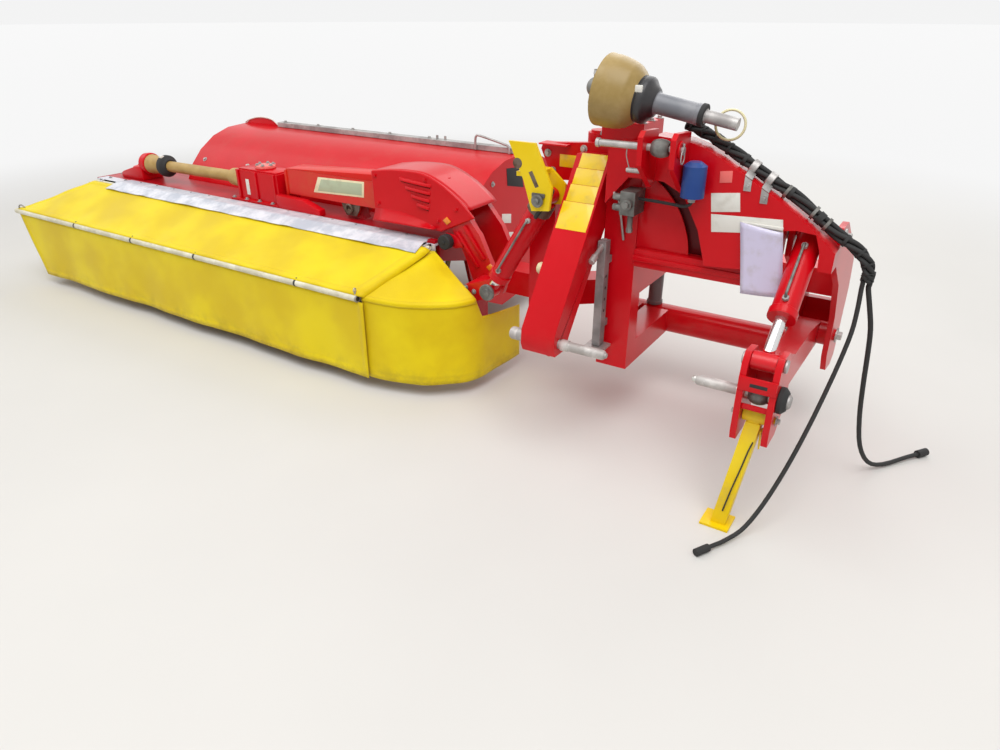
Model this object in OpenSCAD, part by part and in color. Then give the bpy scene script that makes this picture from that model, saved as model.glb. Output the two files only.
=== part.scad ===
// Rear three-point disc mower with tined conditioner, standing lowered on its cutterbar.
// Millimetres. +X runs from the outer end of the cutterbar to the headstock, +Y is rearward,
// +Z is up and the ground is z = 0. The design datum is the middle of the lower hitch pins.

/* [Hitch] */
// Distance between the middles of the two lower hitch arms
hitch_span = 850; // [820:5:900]
// Height of the lower hitch pins when parked
hitch_z = 515; // [490:5:540]
// Diameter of the lower hitch pins' free ends
hitch_pin_d = 28; // [22:1:32]
// Diameter of their shanks, which sit in the strut and the fork
hitch_shank_d = 36; // [34:1:40]
// Diameter of the top link pin
top_pin_d = 25; // [19:1:30]
// Height of the top link pin
top_pin_z = 1255; // [1230:5:1270]
// Clear width between the top link ears
ear_gap = 100; // [90:1:106]
// Thickness of the top link ears
ear_t = 20; // [12:1:24]

/* [Head frame] */
// Y of the front face of the head plate
head_y = 300; // [296:1:310]
// Depth of the head plate's box
head_deep = 100; // [80:1:110]
// Height of the upper cross beam's middle
upper_z = 665; // [655:1:675]
// Height of the lower cross tube's middle
lower_z = 340; // [330:1:345]
// Outer diameter of the lower cross tube
lower_d = 130; // [110:1:140]
// Y of both cross beams' middle
beam_y = 900; // [890:1:910]

/* [Left strut] */
// Width of the strut's box tube
strut_w = 150; // [120:1:160]
// Thickness of the strut's box tube
strut_t = 90; // [70:1:100]

/* [Right arm] */
// Y of the right arm's pivot
arm_pivot_y = 840; // [820:1:860]
// Height of the right arm's pivot
arm_pivot_z = 450; // [440:1:460]
// Outer width of the fork
fork_w = 130; // [120:1:140]
// Thickness of the fork's cheeks
fork_t = 22; // [16:1:26]
// Bore of the hitch cylinder's barrel outside
arm_barrel_d = 90; // [76:1:96]
// Diameter of the hitch cylinder's rod
arm_rod_d = 40; // [30:1:45]

/* [Swing frame and boom] */
// X of the upright break-back pin
swing_x = -420; // [-430:1:-410]
// Y of the upright break-back pin
swing_y = 780; // [775:1:790]
// Diameter of the break-back pin
swing_pin_d = 60; // [50:1:64]
// X of the boom's lift pivot
lift_x = -1020; // [-1030:1:-1010]
// Height of the boom's lift pivot
lift_z = 480; // [476:1:486]
// Diameter of the lift pivot pin
lift_pin_d = 50; // [40:1:54]
// X of the mower's tilt pivot under the boom
tilt_x = -1950; // [-1980:1:-1920]
// Height of the mower's tilt pivot
tilt_z = 700; // [696:1:702]
// Height of the boom's box tube
boom_h = 140; // [120:1:150]
// Width of the boom's box tube
boom_w = 140; // [120:1:150]
// X of the boom's outer end
boom_end_x = -2420; // [-2440:1:-2400]
// Diameter of the lift cylinder's barrel
lift_barrel_d = 90; // [76:1:90]
// Diameter of the lift cylinder's rod
lift_rod_d = 45; // [30:1:50]

/* [Cutterbar] */
// X of the cutterbar's inner end
bar_in_x = -1300; // [-1310:1:-1290]
// Length of the cutterbar
bar_len = 2900; // [2860:10:2940]
// Y of the discs' middles
disc_y = 600; // [590:1:610]
// Distance between neighbouring discs
disc_pitch = 400; // [396:1:406]
// Radius of the knife tips' circle
knife_r = 245; // [235:1:249]
// Thickness of a disc's plate
disc_t = 8; // [5:1:10]

/* [Deck and hood] */
// Height of the deck's top
deck_z = 655; // [650:1:658]
// Y of the deck's front edge
deck_front_y = 430; // [425:1:440]
// X of the deck's outer end
deck_out_x = -4150; // [-4170:1:-4130]
// X of the hood's outer end
hood_out_x = -3600; // [-3640:1:-3560]
// Y of the rotor's axis
rotor_y = 1200; // [1190:1:1210]
// Height of the rotor's axis
rotor_z = 370; // [360:1:380]
// Radius of the tines' tips
tine_r = 250; // [230:1:256]

/* [Guards] */
// Length of the front guard's rod
guard_rod_len = 3050; // [3000:10:3060]
// Y of the front guard's rod
guard_y = 20; // [16:1:24]
// Height of the front guard's rod
guard_z = 475; // [470:1:480]
// Height of the cloths' lower edge
cloth_z = 65; // [50:1:80]
// Thickness of the guards' cloth
cloth_t = 8; // [5:1:10]

/* [Hidden] */
$fn = 48;

red = "#c4121f";
dark_red = "#8f0f18";
yellow = "#f2d20c";
steel = "#b9bcbd";
black = "#1d1d1f";
tan = "#a9863f";

// Play of a turning fit and gap between faces that slide or nearly touch
play = 0.3;
face_gap = 0.3;
guard_out_x = -4480;
bundle_end = [640, 350, 860];
bundle_r = 24;
hood_rear_y = 1880;
foot_front_y = -120;
// Middle of the whole machine, which every node is shifted by
mid_x = (guard_out_x + bundle_end.x + bundle_r) / 2;
mid_y = (foot_front_y + hood_rear_y) / 2;

module placed() { translate([-mid_x, -mid_y, 0]) children(); }

// Plate with its outline in Y and Z, from x0 towards +X
module yz_plate(x0, t, pts) { translate([x0, 0, 0]) rotate([90, 0, 90]) linear_extrude(t) polygon(pts); }
// Plate with its outline in X and Z, from y0 towards +Y
module xz_plate(y0, t, pts) { translate([0, y0 + t, 0]) rotate([90, 0, 0]) linear_extrude(t) polygon(pts); }
module box(lo, hi) { translate(lo) cube(hi - lo); }
// Round bar from p to q
module rod(p, q, r1, r2 = undef) {
    d = q - p;
    translate(p) rotate([0, acos(d.z / norm(d)), atan2(d.y, d.x)])
        cylinder(h = norm(d), r1 = r1, r2 = is_undef(r2) ? r1 : r2);
}
module tube(p, q, r, bore) {
    u = (q - p) / norm(q - p);
    difference() { rod(p, q, r); rod(p - u, q + u, bore); }
}
module pin_x(x0, x1, y, z, r) { rod([x0, y, z], [x1, y, z], r); }
module pin_y(y0, y1, x, z, r) { rod([x, y0, z], [x, y1, z], r); }

half_span = hitch_span / 2;
pin_r = hitch_pin_d / 2;
shank_r = hitch_shank_d / 2;
top_r = top_pin_d / 2;
ear_mid_x = -85;
top_pin_y = 200;
ear_top_z = top_pin_z + 58;
head_left_x = -330;
strut_x = [-half_span - strut_w / 2, -half_span + strut_w / 2];
head_right_x = 530;
head_top_z = 1240;
cheek_t = 22;
cheek_x = [352, 505];
// Plate behind the left strut that carries the gearbox
carrier_y = [440, 470];
carrier_outline = [[-700, 1165], [-690, 1190], [-230, 1226], [-230, 1000], [-300, 990], [-330, 1060],
    [-640, 1043]];
swing_lug_z = [400, 600];

// Outline of the head plate in X and Z, an arch open below, with a recess for the hitch cylinder
head_outline = [[head_left_x, 1010], [head_left_x, head_top_z - 20], [head_left_x + 20, head_top_z],
    [-170, head_top_z], [-150, 1280], [-30, 1272], [45, 1250], [105, 1220], [176, 1184], [282, 1124],
    [375, 1070], [440, 1024], [478, 994], [head_right_x, 950],
    [head_right_x, 880], [484, 880], [478, 950], [458, 1004], [395, 1010], [346, 1002], [345, 850], [90, 830], [50, 960],
    [-20, 1080], [-100, 1120], [-240, 1120]];

module ear(x0) {
    difference() {
        yz_plate(x0, ear_t, [[head_y, 1125], [head_y - 30, 1100], [top_pin_y - 45, top_pin_z - 60],
            [top_pin_y - 50, ear_top_z - 20], [top_pin_y - 25, ear_top_z], [head_y, ear_top_z - 8]]);
        pin_x(x0 - 1, x0 + ear_t + 1, top_pin_y, top_pin_z, top_r + play);
    }
}

module link_ears() {
    color(red) placed() for (x = [ear_mid_x - ear_gap / 2 - ear_t, ear_mid_x + ear_gap / 2]) ear(x);
}

module head_plate() {
    difference() {
        xz_plate(head_y, head_deep, head_outline);
        box([346, head_y + head_deep - 10, 800], [600, head_y + head_deep + 1, 1300]);
        xz_plate(head_y + 12, head_deep - 24, [[60, 960], [90, 850], [330, 870], [335, 1050],
            [270, 1110], [100, 1200], [40, 1215]]);
    }
    xz_plate(carrier_y[0], carrier_y[1] - carrier_y[0], carrier_outline);
    box([-690, 400, 1188], [-560, carrier_y[1], 1194]);
}

// Cheek that carries the right arm: from the head plate down to the lower tube
module right_cheek(x0) {
    yz_plate(x0, cheek_t, [[head_y + head_deep - 11, 890], [head_y + head_deep - 11, 950], [420, 1010], [520, 1010], [720, 900],
        [940, 760], [1000, 620], [1000, 300], [940, 270], [820, 290], [760, 380], [740, 560], [620, 740],
        [480, 830]]);
}

module headstock() {
    color(red) placed() {
        head_plate();
        for (x = cheek_x) right_cheek(x);
        // left column between the head plate and the beams
        box([strut_x[1] + face_gap, head_y + 60, 290], [-210, head_y + 150, 1130]);
        box([-330, head_y + 149, 615], [-210, beam_y - 59, 725]);
        box([-330, head_y + 149, 290], [-210, beam_y - 50, 400]);
        // beams
        box([-520, beam_y - 60, upper_z - 50], [cheek_x[1], beam_y + 60, upper_z + 60]);
        pin_x(-520, cheek_x[0] + cheek_t, beam_y, lower_z, lower_d / 2);
        box([cheek_x[0] + cheek_t - 1, 950, 420], [cheek_x[1] + 1, 985, 560]);
        // lugs of the break-back pin, the pin and its head
        box([swing_x - 70, swing_y - 70, swing_lug_z[1]], [swing_x + 70, beam_y, swing_lug_z[1] + 40]);
        box([swing_x - 70, swing_y - 70, swing_lug_z[0] - 40], [swing_x + 70, beam_y - 20, swing_lug_z[0]]);
        translate([swing_x, swing_y, swing_lug_z[0] - 50]) cylinder(h = 310, r = swing_pin_d / 2);
        translate([swing_x, swing_y, swing_lug_z[1] + 40]) cylinder(h = 18, r = swing_pin_d / 2 + 14);
        // pins of the right arm and of the hitch cylinder
        pin_x(cheek_x[0] - 8, cheek_x[1] + cheek_t + 8, arm_pivot_y, arm_pivot_z, 25);
        pin_x(cheek_x[0] - 4, cheek_x[1] + cheek_t + 4, arm_top.y, arm_top.z, 16);
    }
}

module head_gearbox() {
    color(red) placed() {
        box([-440, carrier_y[1], 960], [-262, 680, 1290]);
        rod([-350, 680, 1150], [-350, 698, 1150], 75);
        rod([pto_hub.x, 640, pto_hub.z], [pto_hub.x, 480, pto_hub.z], 62);
        box([-440, 500, 1289], [-350, 640, 1420]);
        translate([-478, 545, 1170]) cylinder(h = 66, r = 52);
        translate([-478, 545, 1236]) cylinder(h = 9, r = 40);
        box([-478, 515, 1175], [-439, 575, 1225]);
    }
}

module left_strut() {
    color(red) placed() difference() {
        yz_plate(strut_x[0], strut_w, [[-44, 500], [-30, 468], [48, 468], [carrier_y[0] - face_gap, 1000],
            [carrier_y[0] - face_gap, 1172], [378, 1172], [-40, 560]]);
        pin_x(-600, -200, 0, hitch_z, shank_r + play);
    }
}

module left_pin() {
    color(steel) placed() {
        pin_x(strut_x[0] - 22, strut_x[1] + 12, 0, hitch_z, shank_r);
        pin_x(strut_x[0] - 34, strut_x[0] - face_gap, 0, hitch_z, shank_r + 8);
        pin_x(strut_x[1] + 11, -153, 0, hitch_z, pin_r);
        rod([-154, 0, hitch_z], [-145, 0, hitch_z], pin_r, pin_r - 5);
    }
}

module top_pin() {
    color(steel) placed() {
        pin_x(-320, ear_mid_x + ear_gap / 2 + ear_t + 16, top_pin_y, top_pin_z, top_r);
        pin_x(-332, -320, top_pin_y, top_pin_z, top_r + 4);
    }
}

module accumulator() {
    color("#24427c") placed() {
        translate([30, head_y - 52, 1090]) cylinder(h = 110, r = 42);
        translate([30, head_y - 52, 1200]) cylinder(h = 14, r1 = 42, r2 = 22);
        box([15, head_y - 52, 1120], [45, head_y, 1160]);
    }
}

module valve_block() {
    color("#7d8082") placed() {
        box([-250, head_y - 40, 985], [-190, head_y + 60 - face_gap, 1075]);
        for (z = [1005, 1045]) rod([-275, head_y - 10, z], [-249, head_y - 10, z], 14);
        rod([-215, head_y - 10, 930], [-215, head_y - 10, 986], 11);
        rod([-215, head_y - 39, 1030], [-215, head_y - 60, 1030], 20);
    }
}

// Galvanised prop stowed on the inner side of the left strut
stand_x = -half_span + strut_w / 2 + 24;
stand_y = 312;
module left_stand() {
    color(steel) placed() {
        difference() {
            box([stand_x - 18, stand_y - 22, 402], [stand_x + 18, stand_y + 22, 860]);
            box([stand_x - 14, stand_y - 18, 401], [stand_x + 14, stand_y + 18, 850]);
        }
        for (z = [480, 760]) box([stand_x - 18, stand_y + 22, z], [stand_x + 18, head_y + 60 - face_gap, z + 30]);
    }
}
module stand_leg() {
    color(steel) placed() {
        box([stand_x - 14 + play, stand_y - 18 + play, 399], [stand_x + 14 - play, stand_y + 18 - play, 845]);
        box([stand_x - 45, stand_y - 45, 390], [stand_x + 45, stand_y + 38, 400]);
    }
}

// Right lower arm with its fork
arm_top = [half_span, 430, 975];
arm_eye = [half_span, 0, 640];
module fork_cheek(x0) {
    yz_plate(x0, fork_t, [[-58, 380], [-50, 350], [50, 350], [110, 400], [150, 470], [150, 560],
        [60, 668], [-20, 676], [-48, 640], [-58, 560]]);
}
module right_arm() {
    color(red) placed() difference() {
        union() {
            fork_cheek(half_span - fork_w / 2);
            fork_cheek(half_span + fork_w / 2 - fork_t);
            box([half_span - fork_w / 2, 110, 430], [half_span + fork_w / 2, 150, 560]);
            yz_plate(half_span - 42, 84, [[150, 440], [arm_pivot_y - 20, arm_pivot_z - 50],
                [arm_pivot_y, arm_pivot_z + 50], [600, 540], [150, 560]]);
            pin_x(cheek_x[0] + cheek_t + face_gap, cheek_x[1] - face_gap, arm_pivot_y, arm_pivot_z, 50);
            box([half_span - fork_w / 2, -56, 560], [half_span + fork_w / 2, -36, 590]);
        }
        pin_x(0, 900, 0, hitch_z, shank_r + play);
        pin_x(0, 900, arm_pivot_y, arm_pivot_z, 25 + play);
        pin_x(0, 900, leg_pivot.y, leg_pivot.z, 12 + play);
    }
}

module right_pin() {
    color(steel) placed() {
        rod([190, 0, hitch_z], [199, 0, hitch_z], pin_r - 5, pin_r);
        pin_x(198, half_span - fork_w / 2 - 11, 0, hitch_z, pin_r);
        pin_x(half_span - fork_w / 2 - 12, half_span + fork_w / 2 + 40, 0, hitch_z, shank_r);
        pin_x(half_span + fork_w / 2 + face_gap, half_span + fork_w / 2 + 28, 0, hitch_z, 30);
    }
}

arm_dir = (arm_eye - arm_top) / norm(arm_eye - arm_top);
arm_len = norm(arm_eye - arm_top);
module arm_barrel() {
    color(red) placed() difference() {
        union() {
            pin_x(half_span - 45, half_span + 45, arm_top.y, arm_top.z, 34);
            rod(arm_top + arm_dir * 20, arm_top + arm_dir * (arm_len - 185), arm_barrel_d / 2);
            rod(arm_top + arm_dir * (arm_len - 205), arm_top + arm_dir * (arm_len - 175), arm_barrel_d / 2 + 4);
        }
        pin_x(0, 900, arm_top.y, arm_top.z, 16 + play);
        rod(arm_top + arm_dir * 50, arm_top + arm_dir * arm_len, arm_rod_d / 2 + play);
    }
}
module arm_rod() {
    color("#e8e8ea") placed() {
        rod(arm_top + arm_dir * 160, arm_eye - arm_dir * 30, arm_rod_d / 2);
        pin_x(half_span - fork_w / 2 + fork_t + 2, half_span + fork_w / 2 - fork_t - 2, arm_eye.y, arm_eye.z, 32);
    }
}

// Yellow leg under the fork, a channel with a foot plate
leg_pivot = [half_span, 5, 430];
leg_foot = [half_span - 45, -70, 0];
module parking_leg() {
    color(yellow) placed() {
        pin_x(half_span - fork_w / 2 - 4, half_span + fork_w / 2 + 4, leg_pivot.y, leg_pivot.z, 12);
        pin_x(half_span - 40, half_span + 40, leg_pivot.y, leg_pivot.z, 24);
        hull() {
            translate(leg_pivot + [-26, -24, -40]) cube([52, 48, 20]);
            translate([leg_foot.x - 26, leg_foot.y - 24, 8]) cube([52, 48, 8]);
        }
        translate([leg_foot.x - 60, leg_foot.y - 50, 0]) cube([105, 100, 9]);
        translate(leg_pivot + [-20, -20, -45]) cube([40, 40, 45]);
    }
}

// Drive shaft half, parked across the headstock on the cross of its joint
pto_u = [423, 0, -72] / norm([423, 0, -72]);
pto_c = [-300, 300, 1415];
pto_hub = pto_c - pto_u * 96;
module pto_joint() {
    color(steel) placed() {
        rod([pto_hub.x, 480, pto_hub.z], pto_hub + [0, 20, 0], 26);
        translate(pto_hub) sphere(r = 36);
        translate(pto_hub - [0, 0, 62]) cylinder(h = 124, r = 11);
    }
}
module pto_guard() {
    color(tan) placed() difference() {
        union() {
            rod(pto_c - pto_u * 60, pto_c + pto_u * 20, 128, 122);
            rod(pto_c + pto_u * 20, pto_c + pto_u * 90, 122, 70);
            rod(pto_c + pto_u * 90, pto_c + pto_u * 330, 36);
        }
        rod(pto_c - pto_u * 61, pto_c + pto_u * 15, 120, 116);
        rod(pto_c + pto_u * 14, pto_c + pto_u * 82, 114, 64);
        rod(pto_c + pto_u * 80, pto_c + pto_u * 400, 25 + play);
    }
}
// Shaft with the fork that pivots on the cross's upright pins
module pto_shaft() {
    a = atan2(-pto_u.z, pto_u.x);
    color(steel) placed() {
        rod(pto_c - pto_u * 30, pto_c + pto_u * 334, 25);
        rod(pto_c + pto_u * 333, pto_c + pto_u * 450, 22);
        rod(pto_c - pto_u * 46, pto_c - pto_u * 20, 58);
        translate(pto_hub) rotate([0, a, 0]) difference() {
            for (z = [-58, 44]) translate([0, 0, z]) {
                translate([0, -20, 0]) cube([60, 40, 14]);
                cylinder(h = 14, r = 20);
            }
            rotate([0, -a, 0]) translate([0, 0, -80]) cylinder(h = 160, r = 11 + play);
        }
    }
}

// Swing frame: hub on the break-back pin, arm to the lift pivot, column of the lift cylinder
lift_top = [-577, 280, 1007];
lift_eye = [-850, 280, 552];
lift_dir = (lift_eye - lift_top) / norm(lift_eye - lift_top);
lift_len = norm(lift_eye - lift_top);
column_y = [360, 460];
// Boom root plates and the hub between them
root_y = [498, 700];
root_t = 32;
hub_y = [root_y[0] + root_t + face_gap, root_y[1] - face_gap];
module swing_frame() {
    color(dark_red) placed() difference() {
        union() {
            translate([swing_x, swing_y, swing_lug_z[0] + face_gap])
                cylinder(h = swing_lug_z[1] - swing_lug_z[0] - 2 * face_gap, r = 72);
            translate([0, 0, 440]) linear_extrude(120)
                polygon([[swing_x, swing_y - 71], [-620, 545], [lift_x, 545], [lift_x, 685], [-650, 685],
                    [swing_x - 30, swing_y + 60]]);
            pin_y(hub_y[0], hub_y[1], lift_x, lift_z, 70);
            box([-700, column_y[0], 440], [-580, 560, 500]);
            box([-700, column_y[0], 440], [-580, column_y[1], 1025]);
        }
        translate([swing_x, swing_y, 300]) cylinder(h = 400, r = swing_pin_d / 2 + play);
        pin_y(500, 900, lift_x, lift_z, lift_pin_d / 2 + play);
    }
}

// Yellow bracket that holds the top of the lift cylinder
module lift_bracket() {
    color(yellow) placed() {
        xz_plate(212, 14, [[-720, 1225], [-600, 1225], [-520, 1060], [-530, 970], [-610, 960], [-650, 1080]]);
        xz_plate(column_y[0] - 14 - face_gap, 14, [[-700, 1110], [-600, 1110], [-530, 1050], [-530, 970],
            [-610, 960], [-690, 970]]);
        box([-690, 225, 1090], [-600, column_y[0] - 13, 1108]);
        pin_y(206, column_y[0] - 1, lift_top.x, lift_top.z, 15);
    }
}

module lift_barrel() {
    color(red) placed() difference() {
        union() {
            pin_y(lift_top.y - 45, lift_top.y + 45, lift_top.x, lift_top.z, 34);
            rod(lift_top + lift_dir * 20, lift_top + lift_dir * (lift_len - 75), lift_barrel_d / 2);
        }
        pin_y(180, 400, lift_top.x, lift_top.z, 15 + play);
        rod(lift_top + lift_dir * 60, lift_top + lift_dir * lift_len, lift_rod_d / 2 + play);
    }
}
module lift_rod() {
    color("#e8e8ea") placed() {
        rod(lift_top + lift_dir * 100, lift_eye - lift_dir * 25, lift_rod_d / 2);
        pin_y(lift_eye.y - 24, lift_eye.y + 24, lift_eye.x, lift_eye.z, 32);
    }
}

// Boom: two root plates, cross housing, box tube, crank for the lift cylinder
boom_z0 = 740;
boom_y0 = 560;
root_outline = [[lift_x + 60, lift_z - 40], [lift_x + 70, lift_z + 30], [lift_x + 20, lift_z + 120],
    [-1060, 720], [-1200, boom_z0 + boom_h], [-1430, boom_z0 + boom_h], [-1430, boom_z0], [-1230, boom_z0],
    [-1150, 610], [-1085, 450], [lift_x - 40, lift_z - 66], [lift_x + 20, lift_z - 72]];
module boom() {
    color(red) placed() {
        for (y = root_y) xz_plate(y, root_t, root_outline);
        box([-1430, root_y[0], boom_z0], [-1230, root_y[1] + root_t, boom_z0 + boom_h]);
        box([boom_end_x, boom_y0, boom_z0], [-1429, boom_y0 + boom_w, boom_z0 + boom_h]);
        pin_y(345, root_y[0] + 1, lift_x, lift_z, 48);
        pin_y(root_y[0], root_y[1] + root_t + 12, lift_x, lift_z, lift_pin_d / 2);
        xz_plate(345, 26, [[lift_x, lift_z - 48], [lift_x, lift_z + 48], [lift_eye.x - 20, lift_eye.z + 34],
            [lift_eye.x + 34, lift_eye.z + 10], [lift_eye.x + 20, lift_eye.z - 34]]);
        pin_y(lift_eye.y + 26, 346, lift_eye.x, lift_eye.z, 20);
        for (y = [575, 667]) xz_plate(y, 18, [[tilt_x - 60, boom_z0 + 1], [tilt_x + 60, boom_z0 + 1],
            [tilt_x + 32, tilt_z - 28], [tilt_x - 32, tilt_z - 28]]);
        pin_y(570, 690, tilt_x, tilt_z, 15);
    }
}

// Cover over the boom's knee, with a rolled top edge and four louvres
cover_top = [[-1790, 935], [-1600, 955], [-1420, 960], [-1300, 950], [-1190, 905], [-1110, 830], [-1060, 740]];
module boom_cover() {
    color(red) placed() {
        difference() {
            xz_plate(root_y[0] - 16 - face_gap, 16,
                concat(cover_top, [[-1080, 690], [-1250, 700], [-1440, 725], [-1770, 725]]));
            for (i = [0:3]) xz_plate(470, 40, [[-1500 + 22 * i, 905 - 32 * i], [-1380, 900 - 32 * i],
                [-1380, 889 - 32 * i], [-1500 + 22 * i, 894 - 32 * i]]);
        }
        xz_plate(root_y[0] - 1, 240, concat([for (i = [0:5]) cover_top[i]], [for (i = [5:-1:0])
            [cover_top[i].x + (i > 2 ? -6 : 0), cover_top[i].y - 10]]));
        for (x = [-1700, -1330]) box([x, root_y[0] + 80, boom_z0 + boom_h], [x + 40, root_y[0] + 100, 948]);
    }
}

bar_out_x = bar_in_x - bar_len;
module cutterbar() {
    color("#4c4d4f") placed() {
        yz_plate(bar_out_x, bar_len, [[490, 30], [520, 14], [800, 14], [840, 40], [800, 64], [530, 64]]);
        for (i = [0:6]) translate([disc_x(i), disc_y, 60]) cylinder(h = 20, r = 60);
        for (i = [0:6]) yz_plate(disc_x(i) - 95, 190, [[470, 20], [500, 0], [960, 0], [1000, 12], [960, 12], [800, 14],
            [520, 14]]);
    }
}
function disc_x(i) = bar_in_x - (bar_len - 6 * disc_pitch) / 2 - i * disc_pitch;

module disc(i) {
    z0 = 80 + face_gap;
    color("#3a3b3d") placed() translate([disc_x(i), disc_y, z0]) rotate([0, 0, i % 2 == 0 ? 0 : 90]) {
        cylinder(h = 12, r = 55);
        translate([0, 0, 12]) linear_extrude(disc_t) intersection() {
            circle(r = 205);
            square([410, 240], center = true);
        }
        translate([0, 0, 12 + disc_t]) cylinder(h = 22, r1 = 105, r2 = 60);
        for (s = [-1, 1]) {
            translate([s > 0 ? 165 : -knife_r, -22, 8]) cube([knife_r - 165, 44, 4]);
            translate([s * 185, 0, 6]) cylinder(h = 22, r = 14);
        }
    }
}
module disc_1() { disc(0); }
module disc_2() { disc(1); }
module disc_3() { disc(2); }
module disc_4() { disc(3); }
module disc_5() { disc(4); }
module disc_6() { disc(5); }
module disc_7() { disc(6); }

// Frame of the mower: tube, end plates and the tilt bracket
end_outline = [[560, 14], [840, 14], [900, 120], [900, 505], [900, deck_z - 10], [470, deck_z - 10], [470, 560],
    [700, 500], [760, 300], [640, 70]];
frame_y = [760, 900];
module mower_frame() {
    color(red) placed() {
        yz_plate(bar_in_x, 20, end_outline);
        yz_plate(bar_out_x - 20, 20, end_outline);
        box([bar_out_x, frame_y[0], 505], [bar_in_x, frame_y[1], deck_z - 10]);
    }
}

module deck() {
    color(steel) placed() {
        box([deck_out_x, deck_front_y, deck_z - 10], [bar_in_x + 20, 780, deck_z]);
        box([deck_out_x, deck_front_y, deck_z - 35], [bar_in_x + 20, deck_front_y + 8, deck_z - 9]);
        // lugs of the front guard's hinge
        for (x = [-4080, -3380, -2680, -1980, -1330]) difference() {
            yz_plate(x, 12, [[hinge_y - 17, hinge_z - 17], [hinge_y - 17, hinge_z + 14], [deck_front_y + 2, deck_z - 1],
                [deck_front_y + 2, hinge_z - 17]]);
            pin_x(x - 1, x + 13, hinge_y, hinge_z, 11 + play);
        }
        // tilt bracket between the boom's lugs
        difference() {
            xz_plate(600, 60, [[tilt_x - 60, deck_z - 1], [tilt_x + 60, deck_z - 1], [tilt_x + 30, tilt_z + 25],
                [tilt_x - 30, tilt_z + 25]]);
            pin_y(590, 670, tilt_x, tilt_z, 15 + play);
        }
    }
}

module mower_gearbox() {
    color(red) placed() {
        box([-2870, 510, deck_z], [-2455, 700, deck_z + 18]);
        box([-2820, 530, deck_z + 17], [-2470, 690, 840]);
        translate([-2645, 610, 839]) cylinder(h = 14, r = 60);
    }
}

shaft_in = [-2822, 610, 770];
shaft_out = [-3760, 610, 760];
module cross_shaft() {
    u = (shaft_out - shaft_in) / norm(shaft_out - shaft_in);
    color(tan) placed() {
        rod(shaft_in + u, shaft_in + u * 120, 62, 50);
        rod(shaft_in + u * 119, shaft_out - u * 119, 34);
        rod(shaft_out - u * 120, shaft_out - u, 50, 62);
    }
}
module outer_gearbox() {
    color(red) placed() {
        box([-4040, 540, deck_z], [-3760, 700, 830]);
        box([outer_x - 70, 440, 575], [outer_x, 990, deck_z - 9]);
        box([outer_x - 70, 440, deck_z - 10], [deck_out_x, 780, deck_z + 5]);
        for (y = [470, 900]) difference() {
            xz_plate(y, 14, [[outer_x - 69, 640], [outer_x - 69, 590], [outer_hinge[0] - 18, 582],
                [outer_hinge[0] - 18, 618]]);
            pin_y(y - 1, y + 15, outer_hinge[0], outer_hinge[1], 8 + play);
        }
    }
}

hood_in_x = -1310;
hood_t = 8;
// Hood profile in Y and Z: front foot, sloped face, top, rear fall
hood_line = [[745, 655], [790, 740], [880, 830], [1000, 905], [1130, 945], [1300, 955], [1480, 930], [1650, 860],
    [1780, 740], [1860, 590], [1880, 470]];
module hood() {
    color(red) placed() {
        yz_plate(hood_out_x, hood_in_x - hood_out_x, concat(hood_line,
            [for (i = [len(hood_line) - 1:-1:0]) let (p = hood_line[i], f = i / (len(hood_line) - 1))
                [p.x - 2 - 8 * f + (i == 0 ? 12 : 0), p.y - (i == 0 ? 0 : 9)]]));
        for (x = [hood_out_x, hood_in_x - 8]) difference() {
            yz_plate(x, 8, concat(hood_line, [[1860, 300], [1500, 150], [1100, 110], [frame_y[1], 200], [frame_y[1], deck_z - 10], [790, deck_z]]));
            pin_x(x - 1, x + 9, rotor_y, rotor_z, 40);
        }
        for (x = [hood_out_x - 12, hood_in_x - 4]) tube([x, rotor_y, rotor_z], [x + 16, rotor_y, rotor_z], 60, 25 + play);
    }
}
module hood_rail() {
    color(steel) placed() box([-3250, 1270, 955], [hood_in_x - 40, 1330, 985]);
}
module swath_boards() {
    color(dark_red) placed() for (x = [hood_out_x + 8, hood_in_x - 14])
        yz_plate(x, 6, [[1500, 200], [1840, 260], [1850, 560], [1500, 780]]);
}

module rotor() {
    color("#c9b21a") placed() {
        pin_x(hood_out_x - 8, hood_in_x + 8, rotor_y, rotor_z, 25);
        pin_x(hood_out_x + 60, hood_in_x - 60, rotor_y, rotor_z, 70);
        for (i = [0:19]) translate([hood_out_x + 120 + i * 108, rotor_y, rotor_z]) rotate([i * 100, 0, 0])
            for (s = [0, 180]) rotate([s, 0, 0]) yz_plate(-6, 12, [[-22, 60], [22, 60], [10, tine_r], [-10, tine_r]]);
    }
}

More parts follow.
